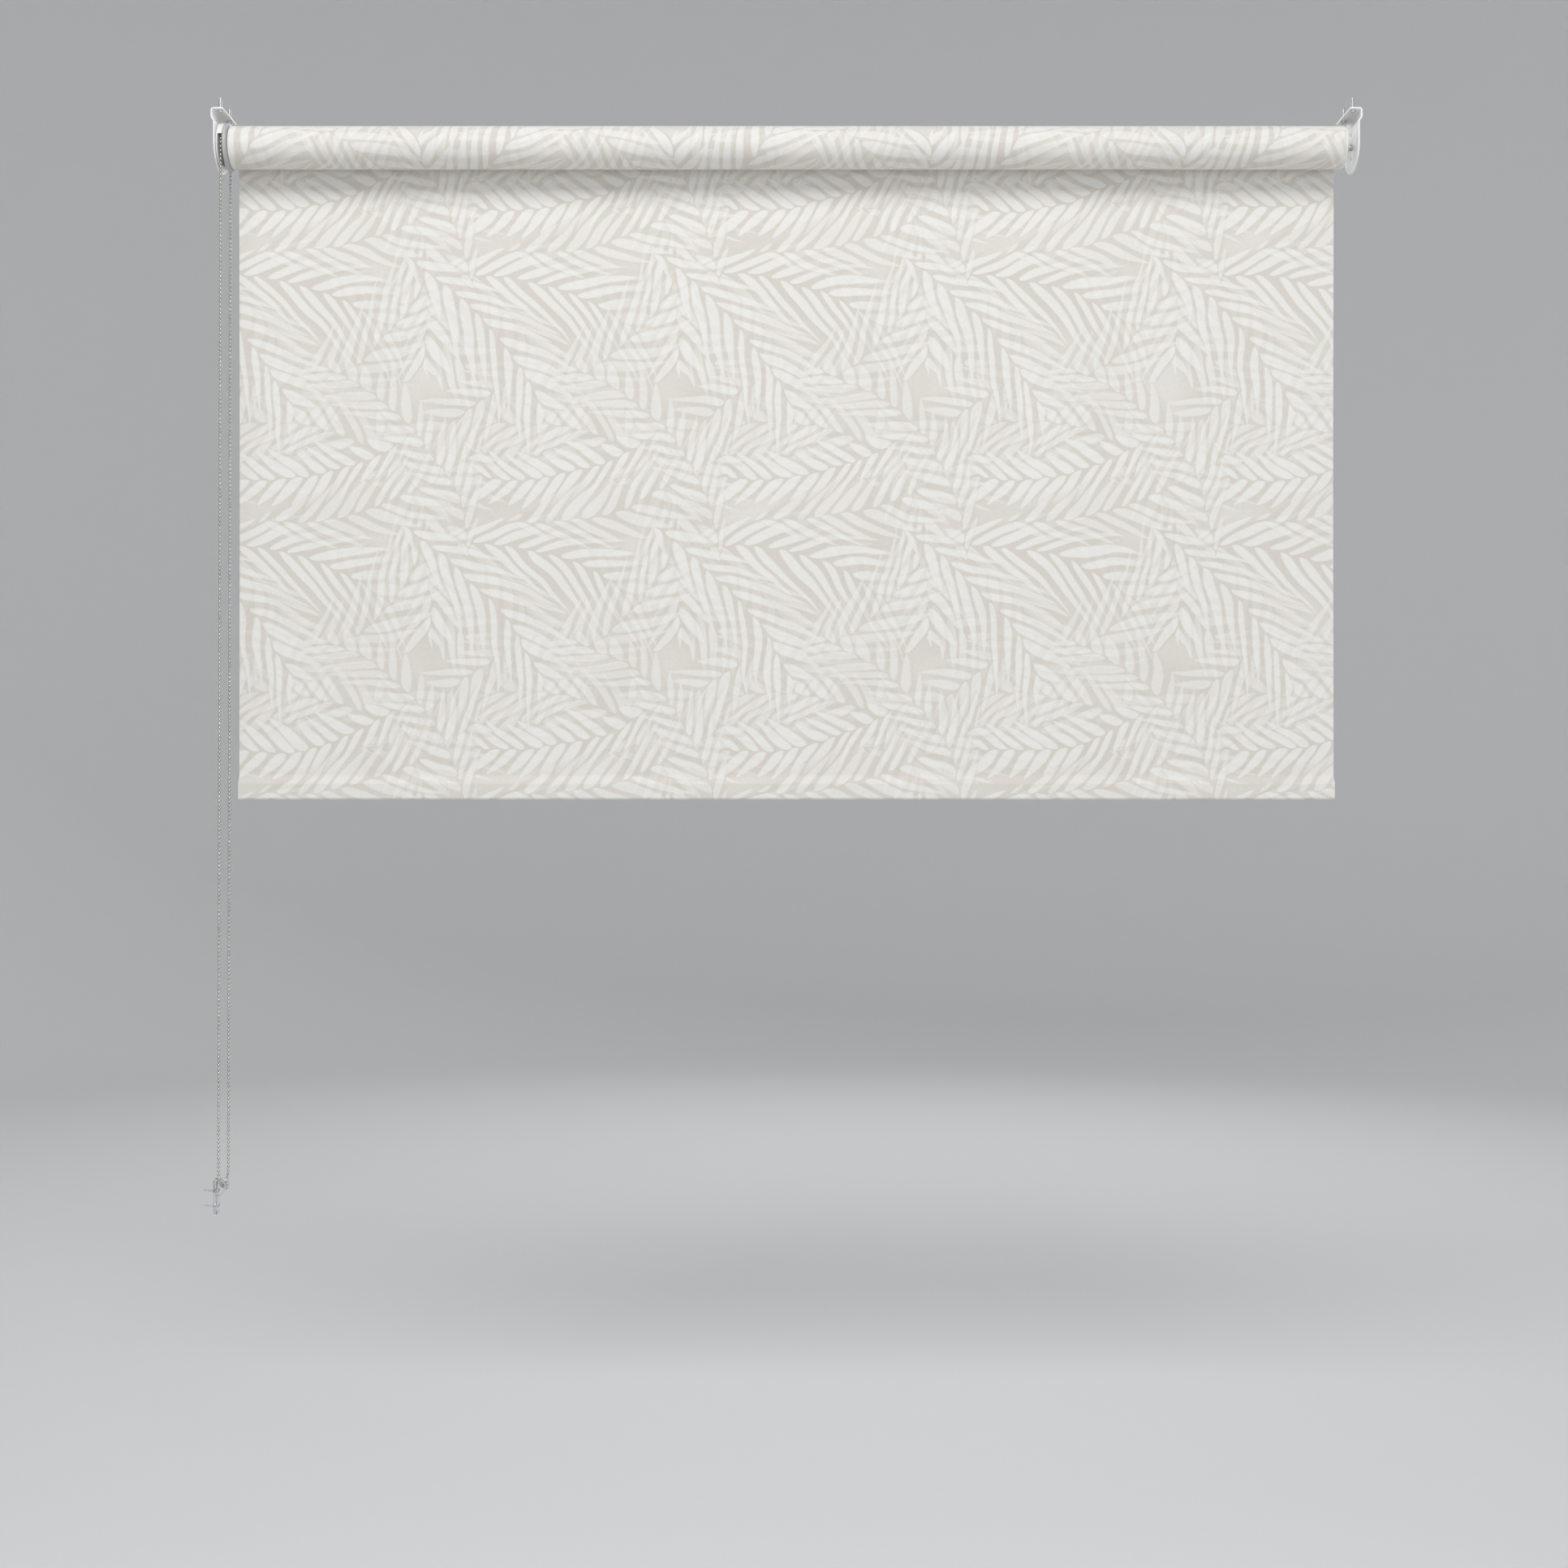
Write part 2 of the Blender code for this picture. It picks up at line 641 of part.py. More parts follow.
def make_idle_end(roller):
    """The plug in the tube's idle end, with its spring-loaded pin."""
    flange_end = TUBE_END_X + PLUG_FLANGE
    plug_start = TUBE_END_X - PLUG_LENGTH
    spring_seat = plug_start + PLUG_END_WALL
    plug = turned(
        "idle_plug",
        [
            (plug_start, 0),
            (plug_start, FITTING_R),
            (TUBE_END_X, FITTING_R),
            (TUBE_END_X, ROLL_R - SEAM),
            (flange_end, ROLL_R - SEAM),
            (flange_end, PLUG_BORE_R),
            (spring_seat, PLUG_BORE_R),
            (spring_seat, 0),
        ],
        "white_plastic",
        (0, 0, 0),
        roller,
        steps=56,
    )
    key_slot(plug, plug_start - SEAM, TUBE_END_X, roller)

    clip_end = flange_end - SEAM
    clip_start = clip_end - CLIP_THICK
    ring(
        "idle_clip",
        clip_start,
        clip_end,
        PIN_R + RUNNING,
        PLUG_BORE_R - SEAM,
        "grey_plastic",
        (0, 0, 0),
        roller,
        steps=32,
    )

    collar_end = clip_start - SEAM
    collar_start = collar_end - PIN_COLLAR
    pin = carrier("idle_pin_slide", (collar_end, 0, 0))
    pin.parent = roller
    tip = PLATE_X + SHEET + 2 * SEAM - collar_end
    point = PIN_R / 4
    turned(
        "idle_pin",
        [
            (-PIN_COLLAR - PIN_TAIL, 0),
            (-PIN_COLLAR - PIN_TAIL, PIN_R),
            (-PIN_COLLAR, PIN_R),
            (-PIN_COLLAR, PIN_COLLAR_R),
            (0, PIN_COLLAR_R),
            (0, PIN_R),
            (tip - point, PIN_R),
            (tip, PIN_R - point),
            (tip, 0),
        ],
        "zinc",
        (0, 0, 0),
        pin,
        steps=32,
    )

    first = spring_seat + SEAM + IDLE_WIRE_R
    last = collar_start - SEAM - IDLE_WIRE_R
    radius = PIN_R + SEAM + IDLE_WIRE_R
    points = coil(radius, first, IDLE_TURNS, (last - first) / IDLE_TURNS, 14)
    rod("idle_spring", points, IDLE_WIRE_R, "spring_steel", parent=roller, resolution=1)


def make_cloth_and_hem(hem):
    """The hanging cloth, its hem pocket, and the bar and end caps inside the hem."""
    sheet = [
        (CLOTH_Y, AXIS_Z),
        (HEM_BACK_Y, AXIS_Z),
        (HEM_BACK_Y, HEM_TOP_Z + SEAM),
        (CLOTH_Y, HEM_TOP_Z + SEAM),
    ]
    prism("hanging_cloth", from_hem(sheet), "X", -END_X, END_X, "cloth", parent=hem)

    front = HEM_BACK_Y - HEM_THICK
    round_r = HEM_THICK / 2
    outer = [
        (HEM_BACK_Y, HEM_TOP_Z),
        (HEM_BACK_Y - 2 * HEM_WALL - SEAM, HEM_TOP_Z),
        (front + HEM_TAPER, HEM_TOP_Z - HEM_SHOULDER),
        (front, HEM_TOP_Z - HEM_FLARE),
        *arc((HEM_MID_Y, HEM_FOOT_Z + round_r), round_r, 180, 360, 8),
        (HEM_BACK_Y, HEM_TOP_Z - HEM_FLARE),
        (HEM_BACK_Y, HEM_TOP_Z - HEM_SHOULDER),
    ]
    inner = moved_sideways(outer, HEM_WALL, closed=True)
    hollow_prism("hem_pocket", from_hem(outer), from_hem(inner), END_X, "cloth", parent=hem)

    middle = (HEM_MID_Y, HEM_FOOT_Z + HEM_WALL + SEAM + BAR_HEIGHT / 2)
    bar = from_hem(stadium(BAR_THICK, BAR_HEIGHT, middle))
    bore = from_hem(stadium(BAR_THICK - 2 * BAR_WALL, BAR_HEIGHT - 2 * BAR_WALL, middle))
    hollow_prism("bottom_bar", bar, bore, BAR_HALF, "aluminium", parent=hem)

    room = 2 * (BAR_WALL + SEAM)
    stem = from_hem(stadium(BAR_THICK - room, BAR_HEIGHT - room, middle))
    plate_x = BAR_HALF + SEAM
    for end, side in (("control", -1), ("idle", 1)):
        steps = ((plate_x - BAR_CAP_STEM, stem), (plate_x, stem), (plate_x, bar), (plate_x + BAR_CAP_PLATE, bar))
        sections = [[(side * x, y, z) for y, z in outline] for x, outline in steps]
        lofted(f"bar_cap_{end}", sections, "white_plastic", parent=hem)


def from_hem(outline):
    """An outline of (y, z) measured from the carrier that the hem rides on."""
    return [(y - HEM_BACK_Y, z - HEM_TOP_Z) for y, z in outline]


def make_chain():
    """The ball chain as plain bars: over the sprocket, down each side and round the bottom bend."""
    wrap = [(CHAIN_X, y, z) for y, z in arc((0, AXIS_Z), PITCH_R, 180, 0, 24)]
    rod("chain_over_sprocket", wrap, BEAD_R, "nickel")

    def strand(y, count=12):
        """Points down one side, from the sprocket to where the bend starts."""
        top = Vector((CHAIN_X, y, AXIS_Z - SEAM))
        foot = Vector((CHAIN_FOOT_X, y, BEND_Z))
        return [top.lerp(foot, k / count) for k in range(count + 1)]

    def bend(route):
        return [Vector((CHAIN_FOOT_X, y, BEND_Z + z)) for y, z in route]

    front = strand(-PITCH_R)
    rear = strand(PITCH_R)[::-1]
    rod("chain_front", front[:-1] + smooth_curve(front[-1:] + bend(FRONT_BEND), 3), BEAD_R, "nickel")
    rod("chain_rear", smooth_curve(bend(REAR_BEND) + rear[:1], 3) + rear[1:], BEAD_R, "nickel")

    first, last = bend(CONNECTOR_ENDS)
    length = (last - first).length
    nose = CONNECTOR_R / 4
    profile = [
        (0, 0),
        (0, CONNECTOR_R - nose),
        (nose, CONNECTOR_R),
        (length - nose, CONNECTOR_R),
        (length, CONNECTOR_R - nose),
        (length, 0),
    ]
    heading = Vector((1, 0, 0)).rotation_difference(last - first).to_euler()
    turned("chain_connector", profile, "nickel", first, turn=heading, steps=20)


def make_tidy():
    """The chain tidy: a plate on the side wall with a bowl that holds the bottom of the loop."""
    wall = -WALL_X
    face = TIDY_FACE_X
    top = TIDY_TOP_Z
    eye_reach = CHAIN_FOOT_X + CONNECTOR_R + TIDY_CLEAR
    reach = eye_reach + TIDY_WALL
    corner = top - TIDY_BOWL_CORNER
    outline = rounded([
        (wall, top, TIDY_HEAD_ROUND),
        (reach, top, TIDY_BOWL_ROUND),
        (reach, corner, TIDY_LIP_ROUND),
        (face, top - TIDY_BOWL_HEIGHT, 0),
        (face, top - TIDY_HEIGHT, TIDY_FOOT_ROUND),
        (wall, top - TIDY_HEIGHT, 0),
    ])
    tidy = prism("chain_tidy", outline, "Y", -TIDY_HALF_WIDTH, TIDY_HALF_WIDTH, "clear_plastic")

    eye_foot = top - TIDY_BOWL_HEIGHT + TIDY_FLOOR
    eye = rounded([
        (face, top - TIDY_WALL, 0),
        (eye_reach, top - TIDY_WALL, TIDY_BOWL_ROUND - TIDY_WALL),
        (eye_reach, corner + TIDY_LIP_RISE, TIDY_LIP_ROUND - TIDY_WALL),
        (face, eye_foot, 0),
    ])
    through = 2 * TIDY_HALF_WIDTH
    cut(tidy, prism("tidy_eye", eye, "Y", -through, through, "clear_plastic"))

    slit_end = face + TIDY_SLIT
    slit_top = eye_foot + 2 * TIDY_SLIT
    slit_foot = top - TIDY_BOWL_HEIGHT - TIDY_SLIT
    slit = [(face, slit_foot), (slit_end, slit_foot), (slit_end, slit_top), (face, slit_top)]
    cut(tidy, prism("tidy_slit", slit, "Y", -through, through, "clear_plastic"))

    towards_wall = (0, 0, math.pi)
    for number, drop in enumerate(TIDY_SCREW_DROPS, 1):
        z = top - drop
        drill(tidy, f"tidy_hole_{number}", "X", wall - SEAM, face + SEAM, TIDY_SCREW_R + SEAM, 0, z, 20)
        place = (face + SEAM, 0, z)
        name = f"tidy_screw_{number}"
        screw(name, place, towards_wall, TIDY_SCREW_R, TIDY_SCREW_HEAD_R, TIDY_SCREW_HEAD_HEIGHT)


clear_scene()
roller_axis = carrier("roller_axis", (0, 0, AXIS_Z))
hem_slide = carrier("hem_slide", (0, HEM_BACK_Y, HEM_TOP_Z))
make_brackets()
make_control_unit(roller_axis)
make_roller(roller_axis)
make_idle_end(roller_axis)
make_cloth_and_hem(hem_slide)
make_chain()
make_tidy()
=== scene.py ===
"""A chain-operated roller blind, half lowered, as it hangs between its two brackets.

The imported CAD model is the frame. X runs along the roller, Y from the room to the window, Z up, in metres.
"""

import json
import math

import bmesh
import bpy
import mathutils
import numpy as np
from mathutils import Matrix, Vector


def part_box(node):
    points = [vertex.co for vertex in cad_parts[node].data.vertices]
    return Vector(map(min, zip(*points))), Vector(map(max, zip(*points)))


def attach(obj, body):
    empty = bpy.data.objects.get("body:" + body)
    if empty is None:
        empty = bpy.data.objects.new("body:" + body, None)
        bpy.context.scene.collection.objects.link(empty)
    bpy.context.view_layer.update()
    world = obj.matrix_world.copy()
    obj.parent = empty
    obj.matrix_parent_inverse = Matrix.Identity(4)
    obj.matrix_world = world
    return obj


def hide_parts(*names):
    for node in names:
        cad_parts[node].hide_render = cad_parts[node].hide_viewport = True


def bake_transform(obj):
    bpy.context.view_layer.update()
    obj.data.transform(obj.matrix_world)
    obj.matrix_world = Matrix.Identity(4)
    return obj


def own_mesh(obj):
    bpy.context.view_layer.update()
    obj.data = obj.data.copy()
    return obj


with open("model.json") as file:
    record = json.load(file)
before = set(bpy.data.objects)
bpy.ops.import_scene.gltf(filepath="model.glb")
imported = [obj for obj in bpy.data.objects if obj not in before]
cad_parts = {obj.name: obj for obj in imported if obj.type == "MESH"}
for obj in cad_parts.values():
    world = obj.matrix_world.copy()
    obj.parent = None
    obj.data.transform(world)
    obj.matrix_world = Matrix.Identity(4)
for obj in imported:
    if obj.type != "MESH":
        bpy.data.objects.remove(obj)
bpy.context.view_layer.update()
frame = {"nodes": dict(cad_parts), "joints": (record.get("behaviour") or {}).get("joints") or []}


# ---------------------------------------------------------------------------
# Camera
# It looks straight at the blind from a little over two metres into the room,
# level with the middle of the window recess.
# ---------------------------------------------------------------------------


def put(name, data):
    """A new object in the scene, made of a mesh, a lamp or a camera."""
    obj = bpy.data.objects.new(name, data)
    bpy.context.scene.collection.objects.link(obj)
    return obj


camera = bpy.data.cameras.new("camera")
camera.sensor_width = 36.0
camera.lens = 46.6
camera.clip_start = 0.05
viewer = put("camera", camera)
viewer.location = (-0.0026, -2.130, -0.7015)
viewer.rotation_euler = (math.radians(90), 0, 0)
bpy.context.scene.camera = viewer


# ---------------------------------------------------------------------------
# Ball chain
# Hollow nickel-plated steel beads swaged over short wire links, 4.23 mm apart. The loop runs over
# the sprocket, down both sides and through the chain tidy, and its ends meet in a connector.
# ---------------------------------------------------------------------------


def unit(vectors):
    """Each vector divided by its length."""
    return vectors / np.linalg.norm(vectors, axis=-1, keepdims=True)


def smooth_route(points, per_span):
    """The Catmull-Rom curve through points: on each span, a cubic whose slope at a point is half the
    step from the point before it to the point after it."""
    ends = np.vstack([2 * points[0] - points[1], points, 2 * points[-1] - points[-2]])
    a, b, c, d = (ends[i : len(ends) - 3 + i, None] for i in range(4))
    t = (np.arange(per_span) / per_span)[None, :, None]
    spans = 0.5 * (2 * b + (c - a) * t + (2 * a - 5 * b + 4 * c - d) * t**2 + (3 * b - a - 3 * c + d) * t**3)
    return np.vstack([spans.reshape(-1, 3), points[-1:]])


def along(route, distances, half_step=5e-4):
    """Points and headings at distances measured along a route: the middle and the direction of the chord
    between the spots half a step before and half a step after each distance."""
    at = np.concatenate([[0], np.cumsum(np.linalg.norm(np.diff(route, axis=0), axis=1))])
    before, after = (
        np.stack([np.interp(np.clip(distances + more, 0, at[-1]), at, route[:, k]) for k in range(3)], axis=1)
        for more in (-half_step, half_step)
    )
    return (before + after) / 2, unit(after - before)


def closed_profile(profile, steps):
    """A profile of (x, radius) turned about X. Its first and last radius are 0, and become poles: each
    other pair gives a ring at x, with y and z the cosine and sine of the angle times the radius."""
    profile = np.asarray(profile, float)
    angles = np.arange(steps) * 2 * np.pi / steps
    x, radius = profile[1:-1, :1], profile[1:-1, 1:]
    rings = np.stack([x + 0 * angles, radius * np.cos(angles), radius * np.sin(angles)], axis=-1)
    points = np.vstack([[[profile[0, 0], 0, 0]], rings.reshape(-1, 3), [[profile[-1, 0], 0, 0]]])
    first = 1 + np.arange(steps)
    after = 1 + (np.arange(steps) + 1) % steps
    bands = np.arange(len(profile) - 3)[:, None] * steps
    quads = np.stack([first + bands, first + bands + steps, after + bands + steps, after + bands], axis=-1)
    top = (len(profile) - 3) * steps
    caps = [[0, a, b] for a, b in zip(first, after)]
    caps += [[len(points) - 1, b + top, a + top] for a, b in zip(first, after)]
    return points, quads.reshape(-1, 4).tolist() + caps


def set_on(points, centres, headings, slanting=(0.31, 0.17, 0.93)):
    """Copies of points at each centre. Their X lies along the heading, their Y square to the heading and to
    a slanting direction that no heading follows, and their Z square to both."""
    side = unit(np.cross(headings, slanting))
    up = np.cross(headings, side)
    axes = np.stack([headings, side, up], axis=1)
    return (centres[:, None] + points @ axes).reshape(-1, 3)


def repeated(faces, count, size):
    """The faces of a shape of size points, count times over, each copy's numbers size on from the last."""
    return [[i + size * k for i in face] for k in range(count) for face in faces]


CREASE = math.radians(70)  # the surface is smooth across an edge that bends less than this


def piece(name, points, faces, body, slot, material, smooth=True):
    """A mesh object made of points and faces, with its finish, riding on a CAD body."""
    mesh = bpy.data.meshes.new(name)
    mesh.from_pydata(np.asarray(points).tolist(), [], [list(f) for f in faces])
    mesh.validate()
    mesh.polygons.foreach_set("use_smooth", [smooth] * len(mesh.polygons))
    mesh.set_sharp_from_angle(angle=CREASE)
    mesh.materials.append(material)
    obj = put(name, mesh)
    if body:
        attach(obj, body)
    return obj


def node(tree, kind, *values, **settings):
    """A shader node. Each value is a socket to link to, a value to set, or None to leave as it is."""
    made = tree.nodes.new("ShaderNode" + kind)
    for key, value in settings.items():
        setattr(made, key, value)
    for socket, value in zip(made.inputs, values):
        if isinstance(value, bpy.types.NodeSocket):
            tree.links.new(value, socket)
        elif value is not None:
            socket.default_value = value
    return made


def calc(tree, operation, *values):
    """What a Math node makes of its values."""
    return node(tree, "Math", *values, operation=operation).outputs[0]


def share(tree, value, low, high, to_low=0.0, to_high=1.0):
    """Where a value stands between low and high, clamped and put on a new scale."""
    return node(tree, "MapRange", value, low, high, to_low, to_high).outputs[0]


def mixed(tree, factor, one, two):
    """Colour one at factor 0, two at factor 1, and a straight mix between them."""
    made = node(tree, "Mix", factor, data_type="RGBA")
    for socket, colour in zip(made.inputs[6:8], (one, two)):
        socket.default_value = (*colour, 1.0)
    return made.outputs[2]


def finish(name, colour, roughness, **more):
    """A Principled material and its node tree. Names in more are the shader's sockets, with _ for a space."""
    material = bpy.data.materials.new(name)
    material.use_nodes = True
    tree = material.node_tree
    shader = tree.nodes["Principled BSDF"]
    more = {key.replace("_", " "): value for key, value in more.items()}
    for key, value in {"Base Color": (*colour, 1.0), "Roughness": roughness, **more}.items():
        shader.inputs[key].default_value = value
    return material, tree, shader


def roughened(tree, shader, pattern, depth, low, high):
    """Lets a pattern from 0 to 1 set the roughness between low and high, and stand proud by a depth."""
    tree.links.new(share(tree, pattern, 0, 1, low, high), shader.inputs["Roughness"])
    bump = node(tree, "Bump", 1.0, depth)
    tree.links.new(pattern, bump.inputs["Height"])
    tree.links.new(bump.outputs[0], shader.inputs["Normal"])


def group(name, inputs, outputs):
    """A node group with named inputs {name: default} and outputs, and its input and output nodes."""
    tree = bpy.data.node_groups.new(name, "ShaderNodeTree")
    for key, value in inputs.items():
        kind = "NodeSocketVector" if isinstance(value, tuple) else "NodeSocketFloat"
        tree.interface.new_socket(key, in_out="INPUT", socket_type=kind).default_value = value
    for key in outputs:
        tree.interface.new_socket(key, in_out="OUTPUT", socket_type="NodeSocketFloat")
    return tree, tree.nodes.new("NodeGroupInput").outputs, tree.nodes.new("NodeGroupOutput").inputs


def use(tree, made, **values):
    """Places a node group. Names in values are its inputs, with _ for a space."""
    placed = node(tree, "Group", node_tree=made)
    for key, value in values.items():
        socket = placed.inputs[key.replace("_", " ")]
        if isinstance(value, bpy.types.NodeSocket):
            tree.links.new(value, socket)
        else:
            socket.default_value = value
    return placed.outputs


def place(tree):
    """The object's own coordinates, in metres."""
    return node(tree, "TexCoord").outputs["Object"]


# Grain: an even mottle of noise whose marks are about Size across, such as moulding texture, plating or
# orange peel. Its middle range is spread out to run from 0 to 1.
grain, g_in, g_out = group("grain", {"Place": (0.0, 0.0, 0.0), "Size": 0.001, "Rough": 0.6}, ("Grain",))
per_metre = calc(grain, "DIVIDE", 1.0, g_in["Size"])
texture = node(grain, "TexNoise", g_in["Place"], None, per_metre, 3.0, g_in["Rough"])
grain.links.new(share(grain, texture.outputs[0], 0.32, 0.68), g_out["Grain"])

BEAD_R = 0.0016
BEAD_PITCH = 0.00423
WIRE_R = 0.00042
SPROCKET_BEADS = 28
CHAIN_DROP = 1.074  # from the roller's axis down to the start of the loop's bend
CHAIN_LEAN = 0.0023  # the tidy holds the loop this much nearer the wall than the sprocket does
PITCH_R = BEAD_PITCH * SPROCKET_BEADS / (2 * math.pi)
AXIS_Z = frame["joints"][0]["pos_m"][2]
BEND_Z = AXIS_Z - CHAIN_DROP
wrap_low, wrap_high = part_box("chain_over_sprocket")
CHAIN_X = (wrap_low.x + wrap_high.x) / 2
FOOT_X = CHAIN_X - CHAIN_LEAN
# The loop's foot, as (y, z) from its middle: the front strand's bend, the connector, the rear strand's bend.
FRONT_BEND = ((-0.0183, -0.0030), (-0.0166, -0.0058), (-0.0140, -0.0080), (-0.0115, -0.0094))
CONNECTOR_ENDS = ((-0.0110, -0.0097), (-0.0010, -0.0158))
REAR_BEND = (
    (-0.0003, -0.0162),
    (0.0028, -0.0166),
    (0.0066, -0.0157),
    (0.0104, -0.0133),
    (0.0139, -0.0099),
    (0.0166, -0.0060),
    (0.0183, -0.0025),
)


def at_foot(route):
    """Points (y, z) of the loop's foot, moved to where it hangs."""
    return np.array([(FOOT_X, y, BEND_Z + z) for y, z in route])


def strand(y, count=12):
    """A straight strand, evenly divided, from the sprocket's side at y down to the start of the bend."""
    share_down = np.linspace(0, 1, count + 1)[:, None]
    return (1 - share_down) * (CHAIN_X, y, AXIS_Z) + share_down * (FOOT_X, y, BEND_Z)


turns = np.linspace(0, np.pi, 49)
over = np.stack([CHAIN_X + 0 * turns, PITCH_R * np.cos(turns), AXIS_Z + PITCH_R * np.sin(turns)], axis=1)
front = strand(-PITCH_R)
front_bend = smooth_route(np.vstack([front[-1:], at_foot(FRONT_BEND)]), 6)
rear = strand(PITCH_R)[::-1]
rear_bend = smooth_route(np.vstack([at_foot(REAR_BEND), rear[:1]]), 6)
connector_ends = at_foot(CONNECTOR_ENDS)
rear_route = np.vstack([rear_bend, rear[1:]])


def length_of(route):
    """The sum of a route's steps."""
    return float(np.linalg.norm(np.diff(route, axis=0), axis=1).sum())


def beads_on(route):
    """Bead centres and headings from a route's start to its end, an even pitch apart."""
    total = length_of(route)
    count = round(total / BEAD_PITCH)
    return along(route, np.arange(count + 1) * total / count)


ball_angles = np.linspace(0, np.pi, 7)
ball = BEAD_R * np.stack([-np.cos(ball_angles), np.abs(np.sin(ball_angles)).round(9)], axis=1)
ball_points, ball_faces = closed_profile(ball, 8)
wire = [(-BEAD_PITCH / 2, 0), (-BEAD_PITCH / 2, WIRE_R), (BEAD_PITCH / 2, WIRE_R), (BEAD_PITCH / 2, 0)]
wire_points, wire_faces = closed_profile(wire, 5)

front_run = np.vstack([over[-1:], front[1:-1], front_bend])
rear_run = np.vstack([over[:1], rear_route[-2::-1]])
chain_points, chain_faces, reached = [], [], 0
for run in (over, front_run, rear_run):
    spots, headings = beads_on(run)
    middles = (spots[1:] + spots[:-1]) / 2
    links = unit(np.diff(spots, axis=0))
    kept = slice(0 if run is over else 1, None)
    for shape, faces, where, way in (
        (ball_points, ball_faces, spots[kept], headings[kept]),
        (wire_points, wire_faces, middles, links),
    ):
        chain_points.append(set_on(shape, where, way))
        chain_faces += [[i + reached for i in face] for face in repeated(faces, len(where), len(shape))]
        reached += len(shape) * len(where)

chain_metal, tree, shader = finish("chain_nickel", (0.40, 0.395, 0.385), 0.16, Metallic=1.0)
tarnish = use(tree, grain, Place=place(tree), Size=0.011)["Grain"]
roughened(tree, shader, tarnish, 0.00002, 0.14, 0.30)
tree.links.new(mixed(tree, tarnish, (0.66, 0.64, 0.61), (0.50, 0.48, 0.45)), shader.inputs["Base Color"])

chain = piece("ball_chain", np.vstack(chain_points), chain_faces, "root", "chain_metal", chain_metal)
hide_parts("chain_over_sprocket", "chain_front", "chain_rear")


# ---------------------------------------------------------------------------
# Chain connector
# A split barrel, rolled from plated brass strip. Its two pinched mouths hold the last bead at each end of
# the chain and make it a loop.
# ---------------------------------------------------------------------------

BARREL_R = 0.0020
first, last = connector_ends
barrel_way = unit(last - first)
barrel_length = float(np.linalg.norm(last - first))
barrel = [
    (0.0, 0.0),
    (0.0, 0.55 * BARREL_R),
    (0.06 * barrel_length, 0.72 * BARREL_R),
    (0.16 * barrel_length, 0.97 * BARREL_R),
    (0.24 * barrel_length, BARREL_R),
    (0.42 * barrel_length, BARREL_R),
    (0.46 * barrel_length, 0.86 * BARREL_R),
]
barrel += [(barrel_length - x, r) for x, r in barrel[::-1]]
barrel_points, barrel_faces = closed_profile(barrel, 24)
connector = piece(
    "chain_barrel",
    set_on(barrel_points, first[None], barrel_way[None]),
    barrel_faces,
    "root",
    "chain_metal",
    chain_metal,
)
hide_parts("chain_connector")


# ---------------------------------------------------------------------------
# Hanging cloth
# Jacquard dim-out cloth, 0.38 mm thick, with palm fronds woven tone on tone. Its outermost turn lies
# round the roll and it leaves the roll at the rear, so that it hangs behind, down to the hem.
# ---------------------------------------------------------------------------

CLOTH_THICK = 0.00038
CLOTH_WIDTH = 1.160
OUTER_R = 0.02184  # outside of the outermost turn
WRAP_END = math.radians(345)
SKIM = 0.0002  # air left between pieces that lie on each other
hem_low, hem_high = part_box("hem_pocket")
HEM_TOP_Z = hem_high.z
HEM_BACK_Y = hem_high.y


def outward(points, faces):
    """Faces of four corners, turned over if the volume that they close comes out negative. The volume is the
    sum of a . (b x c) + a . (c x d) over their corners a, b, c and d."""
    a, b, c, d = (points[faces[:, i]] for i in range(4))
    volume = np.einsum("ij,ij->i", a, np.cross(b, c)).sum() + np.einsum("ij,ij->i", a, np.cross(c, d)).sum()
    return faces if volume > 0 else faces[:, ::-1]


def skin(front, back):
    """Two matching (rows, columns, 3) grids of points, each a sheet, joined all round their rims."""
    rows, columns = front.shape[:2]
    index = np.arange(rows * columns).reshape(rows, columns)
    quads = np.stack([index[:-1, :-1], index[:-1, 1:], index[1:, 1:], index[1:, :-1]], axis=-1).reshape(-1, 4)
    rim = np.concatenate([index[0, :-1], index[:-1, -1], index[-1, :0:-1], index[:0:-1, 0]])
    onward = np.roll(rim, -1)
    under = rows * columns
    rims = np.stack([onward, rim, rim + under, onward + under], axis=-1)
    faces = np.vstack([quads, quads[:, ::-1] + under, rims])
    points = np.vstack([front.reshape(-1, 3), back.reshape(-1, 3)])
    return points, outward(points, faces)


def sheet_along(path, xs, thickness, wave=0.0):
    """Cloth carried along X from a path of (y, z): its two faces stand half the thickness to each side of
    the path, along the path's normal, after a wave (rows, columns) has moved the path along that normal."""
    slope = unit(np.gradient(path, axis=0))
    normal = np.stack([-slope[:, 1], slope[:, 0]], axis=1)[:, None]
    middle = path[:, None] + normal * (np.zeros((len(path), np.shape(xs)[-1])) + wave)[..., None]
    half = normal * (np.asarray(thickness).reshape(-1, 1, 1) / 2)
    across = np.broadcast_to(np.asarray(xs)[..., None], middle.shape[:2] + (1,))
    return skin(*(np.concatenate([across, side], axis=-1) for side in (middle + half, middle - half)))


def smooth_step(share_along):
    """3 s^2 - 2 s^3, which rises from 0 to 1 and is level at both ends."""
    return share_along * share_along * (3 - 2 * share_along)


def keep_flat_length(obj, wound):
    """Stores how far up round the roll each point lies along the cloth, for the woven pattern."""
    attribute = obj.data.attributes.new("wound", "FLOAT", "POINT")
    attribute.data.foreach_set("value", np.asarray(wound, np.float32))


